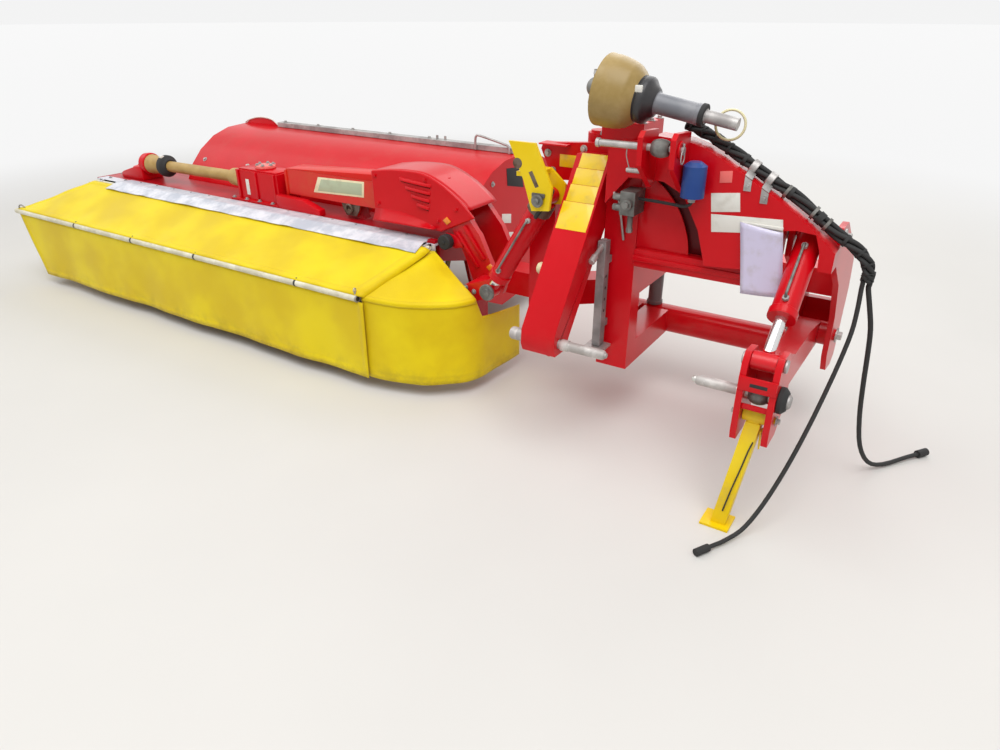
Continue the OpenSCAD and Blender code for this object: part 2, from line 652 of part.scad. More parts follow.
hinge_y = deck_front_y - 12;
hinge_z = deck_z - 18;
slope = [hinge_y - guard_y, hinge_z - guard_z];
rod_in_x = guard_out_x + guard_rod_len;
outer_return_x = -4318;
module front_guard() {
    color(steel) placed() {
        pin_x(guard_out_x, rod_in_x, guard_y, guard_z, 17);
        for (x = [-4100, -3400, -2700, -2000, -1450])
            rod([x, guard_y, guard_z], [x, hinge_y, hinge_z], 9);
        pin_x(-4140, -1300, hinge_y, hinge_z, 11);
    }
}
module front_canopy() {
    a = atan2(slope.y, slope.x);
    color(yellow) placed() translate([0, hinge_y, hinge_z]) rotate([a, 0, 0])
        translate([0, -norm(slope), 17 + face_gap]) linear_extrude(cloth_t)
            polygon([[guard_out_x + 30, 0], [rod_in_x, 0], [bar_in_x - 5, norm(slope) - 22], [-4120, norm(slope) - 22]]);
}
module front_cloth() {
    color(yellow) placed() {
        xz_plate(guard_y - cloth_t / 2, cloth_t, [[guard_out_x + 30, guard_z - 17], [guard_out_x + 180, cloth_z],
            [rod_in_x, cloth_z], [rod_in_x, guard_z - 17]]);
        // the return at the outer end, leaning like the front cloth's outer edge
        corner = concat([[guard_out_x + 30, guard_y + cloth_t / 2 + face_gap, guard_z - 20], [outer_return_x, 425, 590],
            [outer_return_x, 425, cloth_z], [guard_out_x + 180, guard_y + cloth_t / 2 + face_gap, cloth_z]]);
        polyhedron(concat(corner, [for (c = corner) c + [cloth_t, 0, 0]]),
            [[2, 1, 0], [3, 2, 0], [4, 5, 6], [4, 6, 7], [5, 4, 0, 1], [6, 5, 1, 2], [7, 6, 2, 3], [4, 7, 3, 0]]);
    }
}
inner_plan = [[rod_in_x + 14, 34], [-1200, 70], [-1020, 180], [-950, 300], [-930, 420], [-925, 655]];
module inner_cloth() {
    color(yellow) placed() {
        difference() {
            translate([0, 0, cloth_z]) linear_extrude(guard_z - cloth_z)
                polygon(concat(inner_plan, [for (i = [len(inner_plan) - 1:-1:0]) inner_plan[i] - [8, -6]]));
            yz_plate(-1100, 400, [[260, 490], [330, 300], [700, 250], [700, 500]]);
        }
        polyhedron([[rod_in_x + 14, 38, 474], [-950, 262, 474], [-1288, deck_front_y - face_gap, 624],
            [rod_in_x + 14, 38, 482], [-950, 262, 482], [-1288, deck_front_y - face_gap, 632]],
            [[0, 1, 2], [5, 4, 3], [0, 3, 4, 1], [1, 4, 5, 2], [2, 5, 3, 0]]);
    }
}

outer_x = bar_out_x - 20;
outer_hinge = [outer_x - 88, 600];
module outer_guard() {
    color(steel) placed() {
        pin_y(455, 960, outer_hinge[0], outer_hinge[1], 8);
        for (y = [520, 860]) box([outer_hinge[0] - 5, y, outer_hinge[1] - 30], [outer_hinge[0] + 5, y + 30, outer_hinge[1]]);
    }
}
module outer_cloth() {
    color(yellow) placed() box([outer_hinge[0] - 4, 445, cloth_z], [outer_hinge[0] + 4, 955, outer_hinge[1] - 30]);
}

// Hoses. The bundle is clipped along the head plate's edge; the two free hoses leave its end
function sweep_points(path, r, sides) = [for (i = [0:len(path) - 1]) let (
    a = path[max(i - 1, 0)], b = path[min(i + 1, len(path) - 1)], u = (b - a) / norm(b - a),
    ref = abs(u.z) > 0.9 ? [0, 1, 0] : [0, 0, 1], v = cross(u, ref) / norm(cross(u, ref)), w = cross(v, u))
    for (k = [0:sides - 1]) path[i] + r * (cos(360 * k / sides) * v + sin(360 * k / sides) * w)];
module sweep(path, r, sides = 8) {
    n = len(path);
    polyhedron(sweep_points(path, r, sides), concat(
        [[for (k = [sides - 1:-1:0]) k]],
        [for (i = [0:n - 2], k = [0:sides - 1]) [i * sides + k, i * sides + (k + 1) % sides,
            (i + 1) * sides + (k + 1) % sides, (i + 1) * sides + k]],
        [[for (k = [0:sides - 1]) (n - 1) * sides + k]]));
}
// Rings spaced evenly along a smooth curve through the chosen points
function spline(p, i, t) = let (a = p[max(i - 1, 0)], b = p[i], c = p[i + 1], d = p[min(i + 2, len(p) - 1)])
    0.5 * ((2 * b) + (c - a) * t + (2 * a - 5 * b + 4 * c - d) * t * t + (3 * b - a - 3 * c + d) * t * t * t);
function smooth(p, steps) = concat([for (i = [0:len(p) - 2], s = [0:steps - 1]) spline(p, i, s / steps)],
    [p[len(p) - 1]]);

bundle_path = [[-60, 385, 1318], [-10, 380, 1300], [45, 372, 1280], [105, 365, 1250], [176, 360, 1213],
    [282, 360, 1152], [375, 358, 1103], [508, 355, 1010], [585, 352, 965], [626, 350, 925], [640, 350, 890],
    [640, 350, 875], bundle_end];
module hose_bundle() {
    color(black) placed() sweep(smooth(bundle_path, 3), bundle_r, 12);
}
// Each free hose starts square on the bundle's end face and ends square on its plug
hose_a_path = [[630, 341, 860], [630, 341, 845], [630, 341, 830], [634, 330, 760], [634, 310, 680], [622, 270, 580],
    [604, 215, 470], [584, 140, 365], [560, 65, 262], [532, 0, 165], [502, -60, 85], [470, -120, 32],
    [430, -190, 15], [413, -220, 15], [396, -250, 15]];
module hose_a() { color(black) placed() sweep(smooth(hose_a_path, 3), 8, 8); }
module hose_a_tip() { color(black) placed() plug(hose_a_path, 14, 58); }
hose_b_path = [[650, 359, 860], [650, 359, 845], [650, 359, 830], [668, 368, 760], [686, 380, 680], [696, 396, 580],
    [706, 420, 440], [720, 455, 290], [744, 500, 150], [784, 566, 50], [836, 640, 14],
    [910, 741, 17], [930, 769, 17], [950, 797, 17]];
module hose_b() { color(black) placed() sweep(smooth(hose_b_path, 3), 9, 8); }
module hose_b_tip() { color(black) placed() plug(hose_b_path, 16, 52); }
module plug(path, r, reach) {
    last = path[len(path) - 1];
    way = (last - path[len(path) - 2]) / norm(last - path[len(path) - 2]);
    rod(last, last + reach * way, r);
}

headstock();
link_ears();
head_gearbox();
left_strut();
left_pin();
top_pin();
accumulator();
valve_block();
hose_bundle();
left_stand();
stand_leg();
right_arm();
right_pin();
arm_barrel();
arm_rod();
parking_leg();
pto_joint();
pto_guard();
pto_shaft();
swing_frame();
lift_bracket();
lift_barrel();
lift_rod();
boom();
boom_cover();
cutterbar();
mower_frame();
deck();
mower_gearbox();
cross_shaft();
outer_gearbox();
hood();
hood_rail();
swath_boards();
rotor();
disc_1();
disc_2();
disc_3();
disc_4();
disc_5();
disc_6();
disc_7();
front_guard();
front_canopy();
front_cloth();
inner_cloth();
outer_guard();
outer_cloth();
hose_a();
hose_a_tip();
hose_b();
hose_b_tip();
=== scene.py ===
"""Looks of a rear three-point disc mower, standing lowered on its cutterbar.

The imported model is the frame. Every finish is procedural, the cloths and hoses are
modelled here over the plain solids that stand in for them, and small trim is added.
Points are written in the design datum: millimetres from the middle of the lower
hitch pins, +X towards the tractor's right, +Y rearward, +Z up.
"""

import logging
import math
from dataclasses import dataclass
from enum import Enum
from typing import Callable, Iterable, Sequence

import bmesh
import bpy
from mathutils import Matrix, Vector


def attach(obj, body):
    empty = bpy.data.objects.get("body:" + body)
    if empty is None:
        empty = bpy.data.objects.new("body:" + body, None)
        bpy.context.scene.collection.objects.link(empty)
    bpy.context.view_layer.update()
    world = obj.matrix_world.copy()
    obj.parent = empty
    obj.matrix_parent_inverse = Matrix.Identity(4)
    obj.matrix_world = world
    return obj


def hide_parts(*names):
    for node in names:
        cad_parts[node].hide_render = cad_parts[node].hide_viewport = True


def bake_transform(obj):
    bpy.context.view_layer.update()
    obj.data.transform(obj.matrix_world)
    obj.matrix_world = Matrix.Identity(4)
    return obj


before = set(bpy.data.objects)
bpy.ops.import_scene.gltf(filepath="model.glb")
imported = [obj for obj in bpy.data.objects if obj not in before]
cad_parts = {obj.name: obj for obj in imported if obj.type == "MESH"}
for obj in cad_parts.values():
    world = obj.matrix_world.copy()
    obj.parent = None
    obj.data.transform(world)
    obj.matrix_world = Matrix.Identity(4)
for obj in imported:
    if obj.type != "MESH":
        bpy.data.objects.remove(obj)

LOG = logging.getLogger("mower")
MM = 0.001
MID_X, MID_Y = -1908.0, 880.0
Piece = bpy.types.Object
Socket = bpy.types.NodeSocket
Pair = tuple[float, float]
Triple = tuple[float, float, float]
X, Y = 0, 1
ORIGIN, OUTWARD, INWARD = (0, 0, 0), (1, 0, 0), (-1, 0, 0)
FORWARD, BACKWARD, UPWARD = (0, -1, 0), (0, 1, 0), (0, 0, 1)
PIN_Z = 515
SMOOTH, TURNED_SMOOTH, STRAND_SMOOTH, ALL_SMOOTH = 35.0, 30.0, 50.0, 180.0
MERGE, WELD = 0.01 * MM, 0.02 * MM
CORD_STEPS, PIPE_STEPS, LINE_STEPS = 3, 4, 8
NO_START = -9999.0


def at(x: float, y: float, z: float) -> Vector:
    """Returns a datum point, in millimetres, as a point of the row frame in metres."""
    return Vector(((x - MID_X) * MM, (y - MID_Y) * MM, z * MM))


def route(points: Sequence[Triple], steps: int) -> list[Vector]:
    """Evaluates the smooth curve that the part's hoses follow.

    Args:
        points: chosen points in the datum, in millimetres.
        steps: rings between two chosen points.

    Returns:
        Points of the row frame, in metres.
    """
    p = [Vector(q) for q in points]
    found: list[Vector] = []
    for i in range(len(p) - 1):
        a, b, c, d = p[max(i - 1, 0)], p[i], p[i + 1], p[min(i + 2, len(p) - 1)]
        for s in range(steps):
            t = s / steps
            found.append(0.5 * ((2 * b) + (c - a) * t + (2 * a - 5 * b + 4 * c - d) * t * t
                                + (3 * b - a - 3 * c + d) * t ** 3))
    found.append(p[-1])
    return [at(*q) for q in found]


# ---------------------------------------------------------------- materials
class Graph:
    """A material's node tree with short calls for the nodes that finishes share."""

    def __init__(self, name: str) -> None:
        """Starts a material that holds one Principled shader."""
        self.material = bpy.data.materials.new(name)
        self.material.use_nodes = True
        self.tree = self.material.node_tree
        self.shader = self.tree.nodes["Principled BSDF"]
        self.coords = self.tree.nodes.new("ShaderNodeTexCoord").outputs["Object"]

    def add(self, kind: str, links: dict | None = None, **settings: object) -> bpy.types.Node:
        """Adds a node.

        Args:
            kind: the node's type without its ShaderNode prefix.
            links: input name or number to a socket or a constant.
            **settings: properties of the node.

        Returns:
            The new node.
        """
        node = self.tree.nodes.new("ShaderNode" + kind)
        for key, value in settings.items():
            setattr(node, key, value)
        for key, value in (links or {}).items():
            if isinstance(value, Socket):
                self.tree.links.new(value, node.inputs[key])
            else:
                node.inputs[key].default_value = value
        return node

    def noise(self, scale: float, detail: float = 3.0, rough: float = 0.55) -> Socket:
        """Returns a noise value from 0 to 1."""
        links = {"Vector": self.coords, "Scale": scale, "Detail": detail, "Roughness": rough}
        return self.add("TexNoise", links).outputs[0]

    def ramp(self, value: Socket, low: float, high: float,
             out_low: float = 0.0, out_high: float = 1.0) -> Socket:
        """Returns value mapped from low..high to out_low..out_high, clamped and smoothed."""
        links = {"Value": value, "From Min": low, "From Max": high, "To Min": out_low, "To Max": out_high}
        return self.add("MapRange", links, interpolation_type="SMOOTHSTEP").outputs[0]

    def math(self, kind: str, a: object, b: object = 0.0) -> Socket:
        """Returns the result of a Math node on a and b."""
        return self.add("Math", {0: a, 1: b}, operation=kind).outputs[0]

    def mix(self, share: object, a: object, b: object) -> Socket:
        """Returns colour a blended towards colour b by share."""
        node = self.add("Mix", data_type="RGBA")
        for key, value in (("Factor", share), ("A", a), ("B", b)):
            socket = next(s for s in node.inputs if s.name == key and
                          s.type == ("VALUE" if key == "Factor" else "RGBA"))
            if isinstance(value, Socket):
                self.tree.links.new(value, socket)
            else:
                socket.default_value = value
        return next(s for s in node.outputs if s.type == "RGBA")

    def height(self) -> Socket:
        """Returns the height over the ground, in metres."""
        return self.add("SeparateXYZ", {0: self.coords}).outputs[2]

    def facing_up(self) -> Socket:
        """Returns the upward part of the surface's own direction."""
        geometry = self.tree.nodes.new("ShaderNodeNewGeometry")
        return self.add("SeparateXYZ", {0: geometry.outputs["Normal"]}).outputs[2]

    def bump(self, value: Socket, strength: float, depth: float,
             under: Socket | None = None) -> Socket:
        """Returns a normal raised by value; depth is in metres."""
        links = {"Height": value, "Strength": strength, "Distance": depth}
        if under is not None:
            links["Normal"] = under
        return self.add("Bump", links).outputs[0]

    def set(self, **inputs: object) -> None:
        """Sets or links sockets of the shader, with _ in place of spaces."""
        for key, value in inputs.items():
            socket = self.shader.inputs[key.replace("_", " ")]
            if isinstance(value, Socket):
                self.tree.links.new(value, socket)
            else:
                socket.default_value = value


def rgba(red: float, green: float, blue: float) -> tuple[float, float, float, float]:
    """Returns an sRGB colour of 0 to 255 as scene-linear RGBA."""
    def linear(c: float) -> float:
        """Returns one channel, linear."""
        c /= 255
        return c / 12.92 if c <= 0.04045 else ((c + 0.055) / 1.055) ** 2.4
    return linear(red), linear(green), linear(blue), 1.0


DUST = rgba(150, 134, 110)


@dataclass(frozen=True)
class Finish:
    """A finish that can be laid on a piece."""

    name: str
    slot: str

    def build(self) -> bpy.types.Material:
        """Returns the finish's material, made once."""
        known = bpy.data.materials.get(self.name)
        if known:
            return known
        graph = Graph(self.name)
        self.draw(graph)
        return graph.material

    def draw(self, graph: Graph) -> None:
        """Draws the finish's nodes."""
        raise NotImplementedError


@dataclass(frozen=True)
class Paint(Finish):
    """Gloss paint on steel: slight orange peel, faded patches, dust low down and on top."""

    colour: tuple = rgba(200, 2, 18)
    faded: tuple = rgba(208, 10, 26)
    shine: float = 0.28
    dust: float = 0.16

    def draw(self, graph: Graph) -> None:
        """Draws the finish's nodes."""
        patches = graph.ramp(graph.noise(2.6, 4), 0.42, 0.72)
        base = graph.mix(patches, self.colour, self.faded)
        low = graph.ramp(graph.height(), 0.05, 0.75, 1.0, 0.0)
        top = graph.ramp(graph.facing_up(), 0.3, 1.0, 0.0, 0.55)
        film = graph.ramp(graph.noise(9.0, 6, 0.65), 0.45, 0.8)
        amount = graph.math("MULTIPLY", graph.math("MAXIMUM", low, top), film)
        amount = graph.math("MULTIPLY", amount, self.dust)
        graph.set(Base_Color=graph.mix(amount, base, DUST))
        graph.set(Roughness=graph.ramp(amount, 0.0, 0.5, self.shine, 0.75))
        graph.set(Coat_Weight=0.1, Coat_Roughness=0.12, IOR=1.5, Specular_IOR_Level=0.2)
        graph.set(Normal=graph.bump(graph.noise(160.0, 2), 0.25, 0.0005))


@dataclass(frozen=True)
class Zinc(Finish):
    """Zinc-plated or galvanised steel, dulled, with a little rust in patches."""

    colour: tuple = rgba(190, 187, 184)
    dark: tuple = rgba(152, 148, 146)
    rust: float = 0.1
    shine: float = 0.4
    metal: float = 0.6

    def draw(self, graph: Graph) -> None:
        """Draws the finish's nodes."""
        cells = graph.add("TexVoronoi", {"Vector": graph.coords, "Scale": 55.0}).outputs["Color"]
        tone = graph.math("MULTIPLY", graph.noise(9.0, 3), graph.ramp(cells, 0.0, 1.0, 0.92, 1.08))
        base = graph.mix(graph.ramp(tone, 0.35, 0.7), self.dark, self.colour)
        spots = graph.ramp(graph.noise(22.0, 8, 0.7), 0.56, 0.7, 0.0, self.rust)
        graph.set(Base_Color=graph.mix(spots, base, rgba(112, 62, 30)), Metallic=self.metal)
        graph.set(Roughness=graph.ramp(tone, 0.3, 0.8, self.shine + 0.18, self.shine))
        graph.set(Normal=graph.bump(graph.noise(120.0, 4), 0.3, 0.0006))


@dataclass(frozen=True)
class Worn(Finish):
    """Bare or scoured steel with soil and rust on it."""

    colour: tuple = rgba(92, 86, 80)
    soil: tuple = rgba(104, 84, 60)
    shine: float = 0.5

    def draw(self, graph: Graph) -> None:
        """Draws the finish's nodes."""
        patches = graph.ramp(graph.noise(18.0, 7, 0.65), 0.4, 0.65)
        graph.set(Base_Color=graph.mix(patches, self.colour, self.soil), Metallic=0.35)
        graph.set(Roughness=graph.ramp(patches, 0.0, 1.0, self.shine, 0.85))
        graph.set(Normal=graph.bump(graph.noise(95.0, 6), 0.5, 0.0012))


@dataclass(frozen=True)
class Moulded(Finish):
    """Moulded plastic or rubber with a fine grain and dust in its hollows."""

    colour: tuple = rgba(30, 30, 31)
    pale: tuple = rgba(58, 56, 53)
    shine: float = 0.55
    grain: float = 260.0

    def draw(self, graph: Graph) -> None:
        """Draws the finish's nodes."""
        film = graph.ramp(graph.noise(8.0, 6, 0.6), 0.4, 0.75)
        graph.set(Base_Color=graph.mix(film, self.colour, self.pale))
        graph.set(Roughness=graph.ramp(film, 0.0, 1.0, self.shine, self.shine + 0.2))
        graph.set(Normal=graph.bump(graph.noise(self.grain, 2), 0.35, 0.0004))


@dataclass(frozen=True)
class CoatedCloth(Finish):
    """Coated tarpaulin: a fine basket weave under a soft sheen, with soil at the hem."""

    colour: tuple = rgba(236, 212, 8)
    shade: tuple = rgba(220, 190, 2)
    threads: float = 420.0

    def draw(self, graph: Graph) -> None:
        """Draws the finish's nodes."""
        clouds = graph.ramp(graph.noise(3.2, 4, 0.5), 0.35, 0.7)
        base = graph.mix(clouds, self.shade, self.colour)
        hem = graph.math("MULTIPLY", graph.ramp(graph.height(), 0.05, 0.19, 0.34, 0.0),
                         graph.ramp(graph.noise(12.0, 7, 0.7), 0.4, 0.68))
        spots = graph.ramp(graph.noise(34.0, 8, 0.75), 0.64, 0.74, 0.0, 0.14)
        soil = graph.math("MAXIMUM", hem, spots)
        graph.set(Base_Color=graph.mix(soil, base, rgba(122, 98, 52)))
        graph.set(Roughness=graph.ramp(soil, 0.0, 0.6, 0.45, 0.8), Sheen_Weight=0.08, Specular_IOR_Level=0.2)
        weave = [graph.add("TexWave", {"Vector": graph.coords, "Scale": self.threads},
                           bands_direction=way, wave_profile="SIN").outputs[0] for way in "XZ"]
        crossed = graph.math("MULTIPLY", weave[0], weave[1])
        fine = graph.bump(crossed, 0.35, 0.0003)
        graph.set(Normal=graph.bump(graph.noise(16.0, 3, 0.5), 0.35, 0.003, fine))


@dataclass(frozen=True)
class Zone:
    """One stretch of a zoned finish: where it starts, in millimetres, and what it looks like."""

    since: float
    colour: tuple
    worn: tuple
    rough: float
    metal: float = 0.0


@dataclass(frozen=True)
class Zoned(Finish):
    """Several finishes on one piece, changing at stated distances along a line."""

    start: Triple = (0.0, 0.0, 0.0)
    way: Triple = (1.0, 0.0, 0.0)
    zones: tuple[Zone, ...] = ()
    grain: float = 150.0

    def draw(self, graph: Graph) -> None:
        """Draws the finish's nodes."""
        offset = graph.add("VectorMath", {0: graph.coords, 1: tuple(at(*self.start))}, operation="SUBTRACT").outputs[0]
        unit = tuple(Vector(self.way).normalized())
        along = graph.add("VectorMath", {0: offset, 1: unit}, operation="DOT_PRODUCT").outputs["Value"]
        film = graph.ramp(graph.noise(8.0, 6, 0.6), 0.4, 0.75)
        first = self.zones[0]
        base, rough, metal = graph.mix(film, first.colour, first.worn), first.rough, first.metal
        for zone in self.zones[1:]:
            share = graph.math("GREATER_THAN", along, zone.since * MM)
            base = graph.mix(share, base, graph.mix(film, zone.colour, zone.worn))
            rough = graph.add("MapRange", {"Value": share, "To Min": rough, "To Max": zone.rough}).outputs[0]
            metal = graph.add("MapRange", {"Value": share, "To Min": metal, "To Max": zone.metal}).outputs[0]
        graph.set(Base_Color=base, Roughness=rough, Metallic=metal)
        graph.set(Normal=graph.bump(graph.noise(self.grain, 3), 0.3, 0.0005))


@dataclass(frozen=True)
class Reflector(Finish):
    """Ribbed reflector or blank label stock."""

    colour: tuple = rgba(240, 96, 20)
    cells: float = 220.0
    shine: float = 0.2

    def draw(self, graph: Graph) -> None:
        """Draws the finish's nodes."""
        cells = graph.add("TexVoronoi", {"Vector": graph.coords, "Scale": self.cells}).outputs[0]
        film = graph.ramp(graph.noise(20.0, 5), 0.45, 0.8, 0.0, 0.35)
        graph.set(Base_Color=graph.mix(film, self.colour, DUST), Roughness=self.shine)
        graph.set(Coat_Weight=0.4, Normal=graph.bump(cells, 0.3, 0.0006))


RED = Paint("red_gloss", "red_paint")
DEEP_RED = Paint("deep_red_gloss", "dark_red_paint", rgba(158, 2, 18), rgba(168, 10, 26), 0.34, 0.25)
DUSTY_RED = Paint("dusty_red_gloss", "red_paint", rgba(212, 26, 20), rgba(206, 62, 32), 0.32, 0.3)
PALE_RED = Paint("pale_red_plate", "red_paint", rgba(236, 96, 92), rgba(240, 132, 124), 0.35, 0.2)
YELLOW = Paint("yellow_gloss", "yellow_paint", rgba(236, 200, 10), rgba(240, 210, 40), 0.33, 0.4)
BLUE = Paint("blue_gloss", "blue_paint", rgba(34, 66, 132), rgba(58, 90, 150), 0.3, 0.3)
GREY_PAINT = Paint("grey_gloss", "zinc_steel", rgba(104, 108, 110), rgba(132, 134, 134), 0.42, 0.5)
BROWN_GREY = Worn("soiled_bracket", "valve_steel", rgba(112, 96, 84), rgba(92, 70, 54), 0.5)
ZINC = Zinc("zinc_plate", "zinc_steel")
PALE_ZINC = Zinc("pale_zinc", "zinc_steel", rgba(232, 228, 208), rgba(206, 200, 176), 0.12, 0.38, 0.2)
VALVE = Zinc("valve_zinc", "valve_steel", rgba(140, 140, 136), rgba(92, 90, 86), 0.25, 0.45)
BAR = Worn("soiled_bar", "bar_steel")
DISC = Worn("scoured_disc", "disc_steel", rgba(96, 90, 84), rgba(120, 100, 74), 0.42)
TINES = Paint("rotor_gloss", "rotor_paint", rgba(186, 150, 22), rgba(150, 118, 30), 0.45, 1.0)
TAN = Moulded("tan_guard", "tan_plastic", rgba(168, 134, 70), rgba(194, 164, 104), 0.42)
BLACK = Moulded("black_rubber", "black_rubber")
CLOTH = CoatedCloth("coated_cloth", "yellow_cloth")
THREAD = Moulded("sewing_thread", "yellow_cloth", rgba(206, 170, 20), rgba(226, 196, 60), 0.6)
AMBER = Reflector("amber_reflector", "yellow_paint", rgba(238, 138, 18))
ORANGE = Reflector("orange_reflector", "red_paint", rgba(244, 104, 24))
LABEL = Reflector("blank_label", "zinc_steel", rgba(226, 224, 216), 30.0, 0.45)
CREAM_LABEL = Reflector("blank_cream_label", "zinc_steel", rgba(236, 224, 186), 30.0, 0.4)
GREEN_LABEL = Reflector("blank_pale_field", "zinc_steel", rgba(178, 188, 158), 30.0, 0.4)
YELLOW_LABEL = Reflector("blank_yellow_label", "yellow_paint", rgba(244, 206, 18), 30.0, 0.35)
BOOM_PAINT = Zoned("boom_paint", "red_paint", ORIGIN, OUTWARD, (
    Zone(NO_START, rgba(212, 26, 20), rgba(206, 62, 32), 0.32),
    Zone(-1432.0, rgba(200, 2, 18), rgba(208, 10, 26), 0.3)))
STRIP = Zinc("silver_strip", "zinc_steel", rgba(226, 226, 232), rgba(186, 190, 200), 0.04, 0.4, 0.15)
SLEEVE = Zinc("scuffed_zinc", "zinc_steel", rgba(214, 210, 206), rgba(168, 162, 158), 0.2, 0.4, 0.35)
STAND_GREY = Zinc("stand_zinc", "zinc_steel", rgba(150, 146, 146), rgba(122, 118, 118), 0.1, 0.45, 0.3)
# Dark red used for the painted shade in the gap behind the web.
SHADOW_RED = Paint("shaded_red", "dark_red_paint", rgba(92, 2, 12), rgba(104, 6, 16), 0.5, 0.2)
CREAM = Moulded("cream_coating", "yellow_paint", rgba(226, 218, 176), rgba(206, 194, 142), 0.35)
CARD = Reflector("sleeved_card", "zinc_steel", rgba(206, 200, 226), 12.0, 0.18)
SILVER = Zone(NO_START, rgba(222, 222, 230), rgba(202, 200, 206), 0.32, 0.35)
ROD_STEEL = Zone(NO_START, rgba(226, 226, 226), rgba(206, 206, 204), 0.16, 0.9)
RED_ZONE = (rgba(206, 8, 24), rgba(216, 22, 36), 0.3)
DECK_FINISH = Zoned("deck_paint", "dark_red_paint", ORIGIN, BACKWARD, (
    SILVER, Zone(508.0, rgba(172, 8, 24), rgba(186, 30, 38), 0.34)))
ARM_ROD = Zoned("arm_rod_chrome", "rod_chrome", ORIGIN, (0, 0, -1), (
    ROD_STEEL, Zone(-674.0, *RED_ZONE)))
LIFT_ROD = Zoned("lift_rod_chrome", "rod_chrome", ORIGIN, (0, 0, -1), (
    ROD_STEEL, Zone(-586.0, *RED_ZONE)))
SHAFT_GUARD = Zoned("shaft_guard_plastic", "tan_plastic", (-300.0, 300.0, 1415.0), (0.986, 0.0, -0.168), (
    Zone(NO_START, rgba(150, 124, 66), rgba(172, 146, 92), 0.4), Zone(85.0, rgba(34, 34, 38), rgba(58, 56, 56), 0.42),
    Zone(150.0, rgba(112, 114, 120), rgba(142, 142, 146), 0.4)))
HITCH_PIN = Zoned("hitch_pin_steel", "zinc_steel", ORIGIN, OUTWARD, (
    Zone(NO_START, rgba(206, 205, 200), rgba(176, 174, 168), 0.36, 0.6),
    Zone(489.0, rgba(62, 58, 56), rgba(88, 80, 72), 0.5, 0.4),
    Zone(517.0, rgba(214, 212, 206), rgba(186, 184, 176), 0.34, 0.6)))


